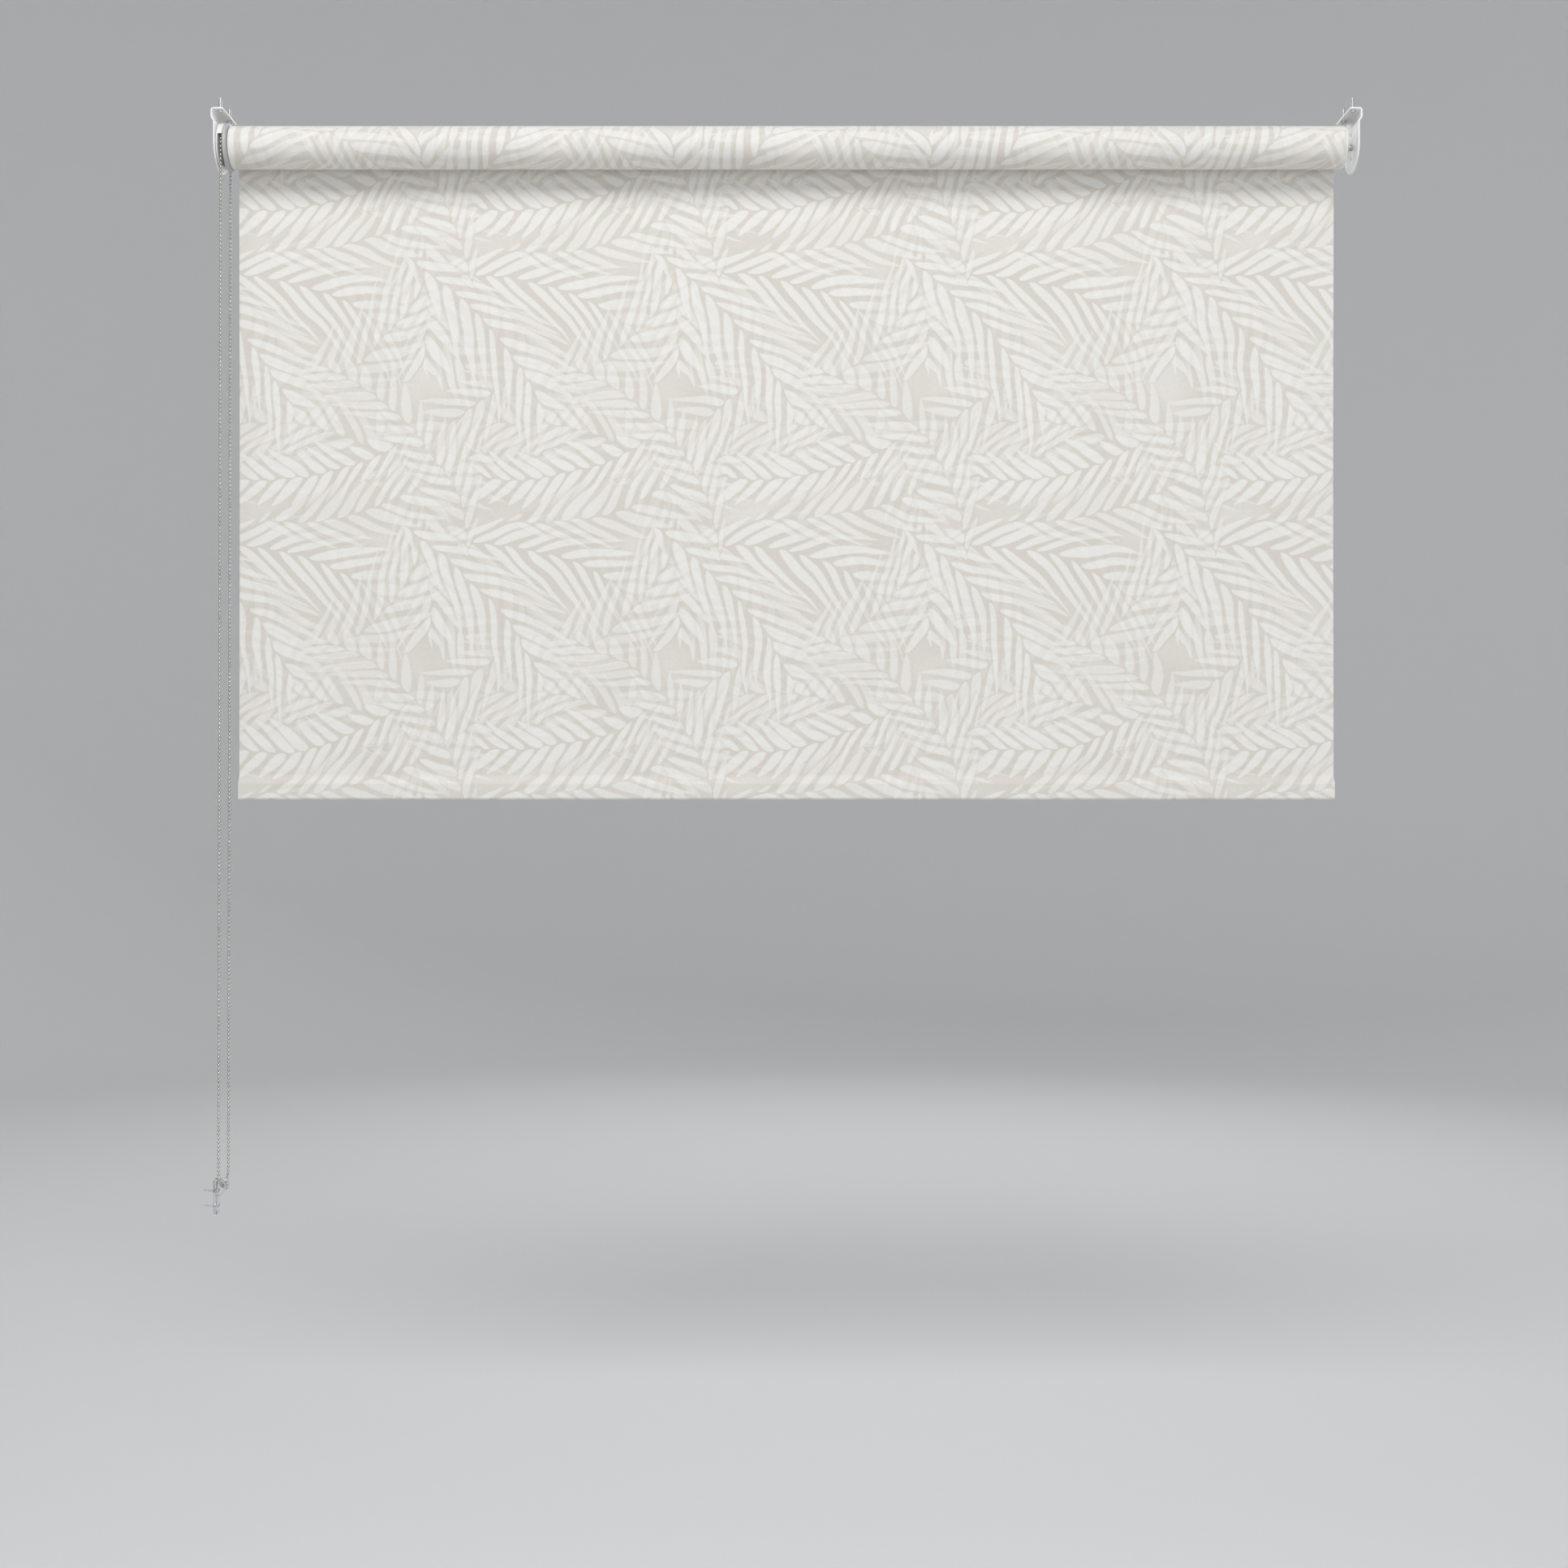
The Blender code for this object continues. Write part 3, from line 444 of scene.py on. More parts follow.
# Weave: one thread over, one under. The height is the thread's round top, |sin|, of whichever is up.
weave, w_in, w_out = group("weave", {"Place": (0.0, 0.0, 0.0), "Pitch": 0.0005}, ("Height",))
spot = node(weave, "SeparateXYZ", w_in["Place"]).outputs
threads_along = [calc(weave, "DIVIDE", spot[k], w_in["Pitch"]) for k in (0, 1)]
waves = [calc(weave, "SINE", calc(weave, "MULTIPLY", math.pi, count)) for count in threads_along]
tops = [calc(weave, "ABSOLUTE", wave) for wave in waves]
warp_up = calc(weave, "GREATER_THAN", calc(weave, "MULTIPLY", *waves), 0.0)
thread = node(weave, "Mix", warp_up, data_type="FLOAT")
weave.links.new(tops[0], thread.inputs[2])
weave.links.new(tops[1], thread.inputs[3])
weave.links.new(thread.outputs[0], w_out["Height"])

# Frond: one palm frond in each repeat of the pattern. Its rib is a parabola. A leaflet's line leaves the
# rib at a slant and bends towards the tip, so each point's leaflet is found by following that line back to
# the rib. A leaflet is a spindle: its half width is sqrt(1 - (2 t^0.6 - 1)^2) at a share t of its length.
# The frond covers what is below it, darker between its leaflets and lighter on them.
REPEAT = (0.2647, 0.2875, 1.0)
FAR_SIDE_DRAW = 57.0  # gives the leaflets on the rib's far side random draws of their own
STAGGER = 0.5  # they stand this share of the pitch on from the near side's
LEAF_SHIFT = 0.2  # a leaflet is off its place by up to half this share of the pitch, to either side
LEAF_TAPER = 0.6  # below 1, so that a leaflet is widest nearer to the rib than to its tip
FROND_TAPER = 0.4  # the lower, the sooner the leaflets are full length from the frond's ends
SHORTEST, LONGER_BY = 0.7, 0.45  # shares of the leaflet length
NARROWEST, WIDER_BY = 0.30, 0.15  # half widths, as shares of the pitch
LEAF_EDGE = (-0.02, 0.11)  # where a leaflet's edge starts and ends, as shares of the pitch
frond, f_in, f_out = group(
    "palm_frond",
    {
        "Place": (0.0, 0.0, 0.0),
        "Centre": (0.0, 0.0, 0.0),
        "Angle": 0.0,
        "Length": 0.24,
        "Bend": 1.0,
        "Slant": 1.1,
        "Curl": 6.0,
        "Pitch": 0.020,
        "Leaf": 0.042,
        "Seed": 0.0,
        "Cover": 0.8,
        "Below": 0.3,
    },
    ("Tone",),
)


def shift(tree, operation, *values):
    """What a Vector Math node makes of its values."""
    return node(tree, "VectorMath", *values, operation=operation).outputs[0]


half_repeat = tuple(size / 2 for size in REPEAT)
tiled = shift(frond, "SUBTRACT", f_in["Place"], f_in["Centre"])
tiled = shift(frond, "WRAP", tiled, half_repeat, tuple(-size for size in half_repeat))
about_z = {"rotation_type": "Z_AXIS", "invert": True}
turned_back = node(frond, "VectorRotate", tiled, None, None, f_in["Angle"], **about_z)
spot = node(frond, "SeparateXYZ", turned_back.outputs[0]).outputs
off_rib = calc(frond, "MULTIPLY_ADD", calc(frond, "MULTIPLY", spot[0], spot[0]), f_in["Bend"], spot[1])
reach = calc(frond, "ABSOLUTE", off_rib)
far_side = calc(frond, "GREATER_THAN", off_rib, 0.0)
lean = calc(frond, "MULTIPLY_ADD", reach, f_in["Curl"], f_in["Slant"])
root = calc(frond, "SUBTRACT", spot[0], calc(frond, "MULTIPLY", reach, lean))
cell = calc(frond, "MULTIPLY_ADD", far_side, STAGGER, calc(frond, "DIVIDE", root, f_in["Pitch"]))
number = calc(frond, "ADD", calc(frond, "FLOOR", cell), f_in["Seed"])
number = calc(frond, "MULTIPLY_ADD", far_side, FAR_SIDE_DRAW, number)
chance = node(frond, "TexWhiteNoise", None, number, noise_dimensions="1D")
draws = node(frond, "SeparateColor", chance.outputs[1]).outputs
in_cell = calc(frond, "SUBTRACT", calc(frond, "FRACT", cell), 0.5 + LEAF_SHIFT / 2)
offset = calc(frond, "MULTIPLY_ADD", draws[1], LEAF_SHIFT, in_cell)
along_rib = calc(frond, "DIVIDE", root, f_in["Length"])
inside = calc(frond, "SUBTRACT", 0.25, calc(frond, "MULTIPLY", along_rib, along_rib))
fullness = calc(frond, "MAXIMUM", calc(frond, "MULTIPLY", inside, 4.0), 0.0)
fullness = calc(frond, "POWER", fullness, FROND_TAPER)
drawn_share = calc(frond, "MULTIPLY_ADD", draws[0], LONGER_BY, SHORTEST)
drawn_reach = calc(frond, "MULTIPLY", f_in["Leaf"], drawn_share)
leaf_reach = calc(frond, "MAXIMUM", calc(frond, "MULTIPLY", fullness, drawn_reach), 0.0001)
out = calc(frond, "MINIMUM", calc(frond, "DIVIDE", reach, leaf_reach), 1.0)
swell = calc(frond, "MULTIPLY_ADD", calc(frond, "POWER", out, LEAF_TAPER), 2.0, -1.0)
spindle = calc(frond, "SQRT", calc(frond, "SUBTRACT", 1.0, calc(frond, "MULTIPLY", swell, swell)))
width = calc(frond, "MULTIPLY", spindle, calc(frond, "MULTIPLY_ADD", draws[2], WIDER_BY, NARROWEST))
leaf = share(frond, calc(frond, "SUBTRACT", width, calc(frond, "ABSOLUTE", offset)), *LEAF_EDGE)
within = calc(frond, "GREATER_THAN", inside, 0.01)
between = calc(frond, "MULTIPLY", share(frond, out, 0.5, 1.0, 1.0, 0.0), within)
cover = calc(frond, "MULTIPLY", calc(frond, "MAXIMUM", between, leaf), f_in["Cover"])
lift = calc(frond, "SUBTRACT", leaf, f_in["Below"])
frond.links.new(calc(frond, "MULTIPLY_ADD", cover, lift, f_in["Below"]), f_out["Tone"])

THREAD_PITCH = 0.00052
SLUB_SIZE = 0.0035  # length of the thicker places in the yarn
SWAY = (0.016, 0.016, 0.0)  # how far a slow noise bends the fronds
GROUND = (0.650, 0.608, 0.548)
LEAFLET = (0.812, 0.802, 0.765)
sheen = {"Sheen_Weight": 0.12, "Sheen_Roughness": 0.5}
cloth_finish, tree, shader = finish("jacquard_cloth", (0.8, 0.79, 0.76), 0.8, **sheen)
spot = node(tree, "SeparateXYZ", place(tree)).outputs
wound = node(tree, "Attribute", attribute_name="wound").outputs["Fac"]
on_roll = calc(tree, "GREATER_THAN", wound, 0.0)
hung = calc(tree, "MULTIPLY", spot[2], calc(tree, "SUBTRACT", 1.0, on_roll))
height = calc(tree, "ADD", hung, calc(tree, "MULTIPLY", on_roll, AXIS_Z))
flat = node(tree, "CombineXYZ", spot[0], calc(tree, "ADD", height, wound), 0.0).outputs[0]
wobble = node(tree, "TexNoise", flat, None, 14.0, 1.0, 0.5)
bent = shift(tree, "SUBTRACT", wobble.outputs[1], (0.5, 0.5, 0.5))
drawn = shift(tree, "MULTIPLY_ADD", bent, SWAY, flat)

# Fronds lie over each other: (across, up) as shares of the repeat, and the rib's angle in degrees. Each
# is shifted by a hair's breadth of the tone below it, so that they are worked out one after another.
FRONDS = (
    (0.00, 0.13, -62),
    (0.75, 0.70, 12),
    (0.51, 0.27, -35),
    (0.26, 0.84, 158),
    (0.02, 0.41, -15),
    (0.77, 0.98, 215),
    (0.53, 0.55, -78),
    (0.28, 0.12, 35),
    (0.04, 0.69, 188),
    (0.35, 0.58, 18),
    (0.79, 0.26, -48),
    (0.55, 0.83, 128),
)
HAIR = (0.00008, 0.0, 0.0)
tone = share(tree, wobble.outputs[0], 0.3, 0.7, 0.15, 0.55)
for k, (across, up, degrees) in enumerate(FRONDS):
    tone = use(
        tree,
        frond,
        Place=shift(tree, "MULTIPLY_ADD", tone, HAIR, drawn),
        Centre=(REPEAT[0] * across, REPEAT[1] * up, 0.0),
        Angle=math.radians(degrees),
        Length=0.21 + 0.06 * (0.618 * k % 1),
        Bend=(1.9, -1.6, 1.2, -2.4)[k % 4],
        Slant=(1.05, 1.3, 0.85)[k % 3],
        Pitch=(0.0205, 0.0230, 0.0180)[k % 3],
        Leaf=(0.044, 0.050, 0.038)[k % 3],
        Seed=131.0 * k,
        Cover=(0.8, 0.62, 0.72, 0.55)[k % 4],
        Below=tone,
    )["Tone"]

threads = use(tree, weave, Place=flat, Pitch=THREAD_PITCH)["Height"]
slub = use(tree, grain, Place=flat, Size=SLUB_SIZE, Rough=0.7)["Grain"]
print_and_thread_shade = calc(tree, "ADD", tone, share(tree, slub, 0, 1, -0.10, 0.10))
# Painted shade of the weave: each thread is coloured lighter along its round top and darker where it dips
# under the next.
print_and_thread_shade = calc(tree, "ADD", print_and_thread_shade, share(tree, threads, 0, 1, -0.10, 0.10))
tree.links.new(mixed(tree, print_and_thread_shade, GROUND, LEAFLET), shader.inputs["Base Color"])
tree.links.new(share(tree, tone, 0, 1, 0.86, 0.66), shader.inputs["Roughness"])
bump = node(tree, "Bump", 0.6, 0.00012)
raised = calc(tree, "ADD", calc(tree, "MULTIPLY", threads, 0.5), calc(tree, "MULTIPLY", slub, 0.35))
tree.links.new(raised, bump.inputs["Height"])
tree.links.new(bump.outputs[0], shader.inputs["Normal"])

middle_r = OUTER_R - CLOTH_THICK / 2
turn = np.linspace(WRAP_END, 0, 116)[:-1]
round_roll = np.stack([middle_r * np.cos(turn), AXIS_Z + middle_r * np.sin(turn)], axis=1)
drop = np.linspace(0, 1, 90)
hem_y = HEM_BACK_Y - SKIM
hanging_y = middle_r + (hem_y - middle_r) * smooth_step(drop)
hanging = np.stack([hanging_y, AXIS_Z + (HEM_TOP_Z - SKIM - AXIS_Z) * drop], axis=1)
cloth_path = np.vstack([round_roll, hanging])
cloth_x = np.linspace(-CLOTH_WIDTH / 2, CLOTH_WIDTH / 2, 175)
slack = np.concatenate([0 * turn, np.sin(np.pi * drop) ** 2])[:, None]


def waves_along_x(*waves):
    """The sum of sine waves along the cloth's width, each of a (height, length, phase)."""
    return sum(height * np.sin(cloth_x * 2 * np.pi / length + phase) for height, length, phase in waves)


BELLY = 0.0009  # the cloth bellies away from the roll, so that it clears the roll when it is raised
EDGE_CURL = 0.0012  # its edges curl back by this much, over their last few centimetres
ripple = BELLY + waves_along_x((0.00045, 0.41, 0.8), (0.00025, 0.17, 2.0))
curl = EDGE_CURL * np.abs(2 * cloth_x / CLOTH_WIDTH) ** 40
WANDER_LEFT, WANDER_RIGHT = 0.0012, 0.0022  # how far the outermost turn's edges stand out past the cloth
WANDER_TURN = 1.2  # radians of the turn over which they do so
stretch = np.where(cloth_x < 0, WANDER_LEFT, WANDER_RIGHT) * cloth_x / (CLOTH_WIDTH / 2)
round_share = np.concatenate([np.clip(turn / WANDER_TURN, 0, 1), 0 * drop])[:, None]
wandered_x = cloth_x[None] + stretch[None] * smooth_step(round_share)
cloth_points, cloth_faces = sheet_along(cloth_path, wandered_x, CLOTH_THICK, slack * (ripple + curl)[None])
cloth = piece("hanging_sheet", cloth_points, cloth_faces, None, "blind_cloth", cloth_finish)
rows = np.concatenate([middle_r * turn, 0 * drop])
keep_flat_length(cloth, np.tile(np.repeat(rows, len(cloth_x)), 2))
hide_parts("hanging_cloth")
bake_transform(cloth)


# ---------------------------------------------------------------------------
# Roll
# The rest of the cloth, 0.76 m of it, wound on the tube in six turns. Its inner end is held in the tube's
# groove, and each turn lies on the one before.
# ---------------------------------------------------------------------------

ROLL_TURNS = 6.0
INNER_R = 0.01918
TURN_GAP = 0.00026  # between the last of these turns and the outermost
WOUND_THICK = CLOTH_THICK * 0.9
PATTERN_ROUND = 0.14  # length of cloth in the outermost turn, past which this cloth's pattern starts
spin = np.linspace(0, 2 * np.pi * ROLL_TURNS, int(72 * ROLL_TURNS) + 1)
roll_r = INNER_R + (OUTER_R - CLOTH_THICK - TURN_GAP - INNER_R) * spin / spin[-1]
roll_path = np.stack([roll_r * np.cos(-spin), AXIS_Z + roll_r * np.sin(-spin)], axis=1)
roll_x = np.linspace(-CLOTH_WIDTH / 2, CLOTH_WIDTH / 2, 7)
roll_points, roll_faces = sheet_along(roll_path, roll_x, WOUND_THICK)
roll = piece("wound_cloth", roll_points, roll_faces, "roller", "blind_cloth", cloth_finish)
wound_length = length_of(roll_path)
rows = PATTERN_ROUND + wound_length * (1 - spin / spin[-1])
keep_flat_length(roll, np.tile(np.repeat(rows, len(roll_x)), 2))
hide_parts("cloth_roll")


# ---------------------------------------------------------------------------
# Hem
# The cloth is turned up round the bottom bar and welded along its top, with the lap at the back. The weld
# draws the cloth in, so it puckers a little there and flares out to the bar below.
# ---------------------------------------------------------------------------

HEM_FLARE = 0.0098  # height over which the front leaves the cloth behind and comes out to the bar
BACK_FLARE = 0.0085  # the same for the back
LAP = 0.0042
PUCKER = 0.00007
PUCKER_AT, PUCKER_OVER = 0.003, 0.004  # how far below the top the puckers are deepest, and their spread
BAR_ROUND = (hem_high.y - hem_low.y) / 2
half_cloth = CLOTH_THICK / 2
front_y = hem_low.y + half_cloth
back_y = HEM_BACK_Y - half_cloth
foot_angles = np.linspace(np.pi, 2 * np.pi, 9)
foot_r = BAR_ROUND - half_cloth
foot_y = HEM_BACK_Y - BAR_ROUND + foot_r * np.cos(foot_angles)
foot_z = hem_low.z + BAR_ROUND + foot_r * np.sin(foot_angles)
flare = np.linspace(0, 1, 9)
weld_y = hem_y - half_cloth - SKIM
lap_y = hem_y + CLOTH_THICK + SKIM / 2
flare_y = weld_y + (front_y - weld_y) * smooth_step(flare)
hem_path = np.vstack([
    (weld_y + SKIM / 2, HEM_TOP_Z + 0.0010),
    np.stack([flare_y, HEM_TOP_Z - HEM_FLARE * flare], axis=1),
    (front_y, HEM_TOP_Z - 2 * BACK_FLARE),
    np.stack([foot_y, foot_z], axis=1),
    (back_y, HEM_TOP_Z - 2 * BACK_FLARE),
    (back_y, HEM_TOP_Z - BACK_FLARE),
    (back_y + SKIM, HEM_TOP_Z - 0.0020),
    (lap_y, HEM_TOP_Z),
    (lap_y, HEM_TOP_Z + LAP),
])
hem_path = smooth_route(np.hstack([0 * hem_path[:, :1], hem_path]), 5)[:, 1:]
hem_x = np.linspace(-CLOTH_WIDTH / 2, CLOTH_WIDTH / 2, 233)
# The weld presses the edge to a quarter of the cloth's thickness. The puckers are a wave of 21 mm whose
# height swells and fades over 173 mm, and die away from their deepest line as exp(-distance^2).
taper = CLOTH_THICK * np.clip(0.25 + np.arange(len(hem_path)) / 12, 0, 1)
pucker = PUCKER * np.sin(hem_x * 2 * np.pi / 0.021) * np.sin(hem_x * 2 * np.pi / 0.173 + 0.6)
near_weld = np.exp(-(((hem_path[:, 1] - HEM_TOP_Z + PUCKER_AT) / PUCKER_OVER) ** 2))[:, None]
hem_points, hem_faces = sheet_along(hem_path, hem_x, taper, near_weld * pucker)
hem = piece("hem_cloth", hem_points, hem_faces, "hem", "blind_cloth", cloth_finish)
keep_flat_length(hem, np.zeros(len(hem.data.vertices)))
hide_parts("hem_pocket")


# ---------------------------------------------------------------------------
# Bottom bar and its caps
# A hollow aluminium extrusion in mill finish, sawn to length, which lies in the hem and keeps it straight.
# A moulded white cap is pressed into each end.
# ---------------------------------------------------------------------------


def carried(name, material):
    """Gives a CAD piece whose shape is right its finish."""
    frame["nodes"][name].material_slots[0].material = material


# Drawn metal: lines along X, as a die leaves them. They are noise, Run long and Line wide.
line_sizes = {"Place": (0.0, 0.0, 0.0), "Line": 0.0004, "Run": 0.08}
drawn_lines, d_in, d_out = group("drawn_metal", line_sizes, ("Line",))
spot = node(drawn_lines, "SeparateXYZ", d_in["Place"]).outputs
squeezed = node(
    drawn_lines,
    "CombineXYZ",
    calc(drawn_lines, "DIVIDE", spot[0], d_in["Run"]),
    calc(drawn_lines, "DIVIDE", spot[1], d_in["Line"]),
    calc(drawn_lines, "DIVIDE", spot[2], d_in["Line"]),
)
texture = node(drawn_lines, "TexNoise", squeezed.outputs[0], None, 1.0, 3.0, 0.6)
drawn_lines.links.new(share(drawn_lines, texture.outputs[0], 0.3, 0.7), d_out["Line"])

aluminium, tree, shader = finish("mill_aluminium", (0.74, 0.75, 0.76), 0.32, Metallic=1.0)
lines = use(tree, drawn_lines, Place=place(tree))["Line"]
roughened(tree, shader, lines, 0.00003, 0.24, 0.42)
tree.links.new(mixed(tree, lines, (0.68, 0.69, 0.70), (0.79, 0.80, 0.81)), shader.inputs["Base Color"])
carried("bottom_bar", aluminium)


def moulded(name, colour, shade, size, depth, low, high, **more):
    """Moulded plastic: a spark-eroded grain of a size and depth, which sets the roughness between low and
    high, and a faint flow mottle, 40 times as large, between two colours."""
    material, tree, shader = finish(name, colour, low, **more)
    at = place(tree)
    roughened(tree, shader, use(tree, grain, Place=at, Size=size)["Grain"], depth, low, high)
    flow = use(tree, grain, Place=at, Size=40 * size, Rough=0.4)["Grain"]
    tree.links.new(mixed(tree, flow, shade, colour), shader.inputs["Base Color"])
    return material


def softened(name, source, edge, material, body):
    """A CAD piece with its edges rounded: a copy with its triangles merged into flat faces, and a bevel."""
    mesh = frame["nodes"][source].data.copy()
    shape = bmesh.new()
    shape.from_mesh(mesh)
    bmesh.ops.remove_doubles(shape, verts=shape.verts, dist=2e-6)
    bmesh.ops.dissolve_limit(shape, angle_limit=math.radians(1), verts=shape.verts, edges=shape.edges)
    shape.to_mesh(mesh)
    shape.free()
    mesh.materials.clear()
    mesh.materials.append(material)
    mesh.shade_smooth()
    obj = put(name, mesh)
    rounding = obj.modifiers.new("rounding", "BEVEL")
    rounding.width = edge
    rounding.segments = 3
    rounding.limit_method = "ANGLE"
    rounding.angle_limit = math.radians(30)
    rounding.harden_normals = True
    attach(obj, body)
    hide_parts(source)


white_moulding = moulded(
    "white_moulding", (0.80, 0.80, 0.785), (0.76, 0.76, 0.745), 0.0007, 0.00001, 0.34, 0.46
)
for end in ("control", "idle"):
    softened(f"hem_cap_{end}", f"bar_cap_{end}", 0.0003, white_moulding, "hem")


# ---------------------------------------------------------------------------
# Brackets
# Pressed from 1.5 mm steel with rolled-over edges, joggled to clear the wall, and powder coated white. Two
# screws through the flange hold each one up to the head of the recess.
# ---------------------------------------------------------------------------

powder_coat, tree, shader = finish("white_powder_coat", (0.86, 0.86, 0.85), 0.4)
at = place(tree)
peel = use(tree, grain, Place=at, Size=0.0011, Rough=0.45)["Grain"]
roughened(tree, shader, peel, 0.00003, 0.36, 0.50)
cloudy = use(tree, grain, Place=at, Size=0.02)["Grain"]
tree.links.new(mixed(tree, cloudy, (0.835, 0.835, 0.825), (0.875, 0.875, 0.865)), shader.inputs["Base Color"])
for end in ("control", "idle"):
    softened(f"{end}_end_bracket", f"{end}_bracket", 0.0004, powder_coat, "root")


# ---------------------------------------------------------------------------
# Screws
# Zinc-plated pan heads with a cross recess and a rolled thread: four 3.5 mm ones up into the head of the
# recess through the bracket flanges, and two 2.8 mm ones into the wall through the tidy.
# ---------------------------------------------------------------------------


def pole_skin(points):
    """A (rings, steps, 3) grid closed round each ring, with its first and last rings each one point."""
    rings, steps = points.shape[:2]
    index = np.arange(rings * steps).reshape(rings, steps)
    after = np.roll(index, -1, axis=1)
    quads = np.stack([index[1:-2], index[2:-1], after[2:-1], after[1:-2]], axis=-1).reshape(-1, 4).tolist()
    caps = [[index[0, 0], a, b] for a, b in zip(index[1], after[1])]
    caps += [[index[-1, 0], b, a] for a, b in zip(index[-2], after[-2])]
    used = np.concatenate([[0], index[1:-1].ravel(), [index[-1, 0]]])
    renumber = np.zeros(rings * steps, int)
    renumber[used] = np.arange(len(used))
    return points.reshape(-1, 3)[used], [renumber[face].tolist() for face in quads + caps]


def screw_shape(head_r, head_height, shank_r, length, pitch, steps=24):
    """A screw along X, its head at -X. The head is a dome, 0.35 + 0.65 (1 - s^4) of its height at a share s
    of its radius, sunk by a cross where |y| or |z| is small. The thread's radius rises and falls with
    x / pitch less the share of a turn. It fades in below the head and thins to the point."""
    angle = np.arange(steps) * 2 * np.pi / steps
    share_out = np.array([0.0, 0.12, 0.22, 0.34, 0.46, 0.58, 0.72, 0.86, 0.95, 1.0])[:, None]
    radius = head_r * share_out + 0 * angle
    arm = np.minimum(np.abs(radius * np.cos(angle)), np.abs(radius * np.sin(angle)))
    sunk = np.clip(1.6 - arm / (0.11 * head_r), 0, 1) * np.clip((0.62 - share_out) / 0.1, 0, 1)
    x = -head_height * (0.35 + 0.65 * (1 - share_out**4)) + 0.5 * head_height * sunk
    x[0] = x[0, 0]
    shank_x = np.linspace(0, length * 0.9, 66)[:, None] + 0 * angle
    ridge = 1 - 2 * np.abs((shank_x / pitch - angle / (2 * np.pi)) % 1 - 0.5)
    ridge *= np.clip(shank_x / length * 12 - 1, 0, 1)
    ridge *= np.clip((length * 0.9 - shank_x) / (0.2 * length), 0, 1)
    shank = shank_r * (0.80 + 0.30 * ridge) * np.clip((length - shank_x) / (0.3 * length), 0.25, 1)
    under = np.stack([0 * angle - 0.02 * head_height, 0 * angle])
    rows_x = np.vstack([x, under, shank_x, np.full((1, steps), length)])
    rows_r = np.vstack([radius, np.stack([0 * angle + head_r, 0 * angle + shank_r]), shank, 0 * angle[None]])
    return pole_skin(np.stack([rows_x, rows_r * np.cos(angle), rows_r * np.sin(angle)], axis=-1))


zinc, tree, shader = finish("bright_zinc", (0.68, 0.69, 0.70), 0.28, Metallic=1.0)
spangle = use(tree, grain, Place=place(tree), Size=0.0016)["Grain"]
roughened(tree, shader, spangle, 0.00001, 0.2, 0.42)
tree.links.new(mixed(tree, spangle, (0.60, 0.61, 0.63), (0.74, 0.74, 0.73)), shader.inputs["Base Color"])


def fixed(source, seat, way, *sizes):
    """Puts a screw in the place of a CAD one, with its head on the seat and its shank along the way."""
    shape, faces = screw_shape(*sizes)
    points = set_on(shape, np.array([seat]), np.array([way]))
    fixing = piece(source.replace("screw", "fixing"), points, faces, "root", "zinc_screw", zinc)
    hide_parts(source)


BRACKET_HEAD, BRACKET_SHANK_R, BRACKET_THREAD = 0.0022, 0.00175, 0.0013
for source in [f"{end}_bracket_screw_{row}" for end in ("control", "idle") for row in ("front", "rear")]:
    low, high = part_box(source)
    seat = ((low.x + high.x) / 2, (low.y + high.y) / 2, low.z + BRACKET_HEAD)
    length = high.z - low.z - BRACKET_HEAD
    sizes = ((high.x - low.x) / 2, BRACKET_HEAD, BRACKET_SHANK_R, length, BRACKET_THREAD)
    fixed(source, seat, (0.0, 0.0, 1.0), *sizes)

TIDY_HEAD, TIDY_SHANK_R, TIDY_THREAD = 0.00176, 0.0014, 0.0011
for source in ("tidy_screw_1", "tidy_screw_2"):
    low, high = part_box(source)
    seat = (high.x - TIDY_HEAD, (low.y + high.y) / 2, (low.z + high.z) / 2)
    length = high.x - low.x - TIDY_HEAD
    sizes = ((high.z - low.z) / 2, TIDY_HEAD, TIDY_SHANK_R, length, TIDY_THREAD)
    fixed(source, seat, (-1.0, 0.0, 0.0), *sizes)


# ---------------------------------------------------------------------------
# Control unit
# A white moulded housing whose guard wall keeps the chain on, and a light grey cover on the roll's side.
# They are snapped together round the sprocket, on the spindle that the bracket holds.
# ---------------------------------------------------------------------------


def eased(corners, steps=5):
    """A closed outline through corners (x, radius, rounding). Each corner becomes a quadratic curve between
    the points its rounding away from it, (1 - t)^2 A + 2 t (1 - t) corner + t^2 B."""
    corners = np.asarray(corners, float)
    at, size = corners[:, :2], corners[:, 2:]
    before = at + unit(np.roll(at, 1, axis=0) - at) * size
    after = at + unit(np.roll(at, -1, axis=0) - at) * size
    t = np.linspace(0, 1, steps)[None, :, None]
    curves = (1 - t) ** 2 * before[:, None] + 2 * t * (1 - t) * at[:, None] + t**2 * after[:, None]
    return curves.reshape(-1, 2)


def ring_skin(x, radius):
    """Points and faces of a ring round the roller's axis, from (rows, steps) grids of x and radius whose rows
    close up on themselves: y is the radius times the cosine of the angle, z the axis plus its sine."""
    rows, steps = radius.shape
    angle = np.arange(steps) * 2 * np.pi / steps
    points = np.stack([x + 0 * radius, radius * np.cos(angle), AXIS_Z + radius * np.sin(angle)], axis=-1)
    index = np.arange(rows * steps).reshape(rows, steps)
    down, on = np.roll(index, -1, axis=0), np.roll(index, -1, axis=1)
    faces = np.stack([index, on, np.roll(down, -1, axis=1), down], axis=-1).reshape(-1, 4)
    points = points.reshape(-1, 3)
    return points, outward(points, faces)


def turned_ring(name, corners, body, slot, material, source, steps=96):
    """A ring turned about the roller's axis from an eased outline, which may stand for a CAD piece."""
    outline = eased(corners)
    grid = outline[:, :1] + np.zeros((1, steps)), outline[:, 1:] + np.zeros((1, steps))
    ring = piece(name, *ring_skin(*grid), body, slot, material)
    if source:
        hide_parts(source)


softened("chain_housing", "control_housing", 0.00035, white_moulding, "root")

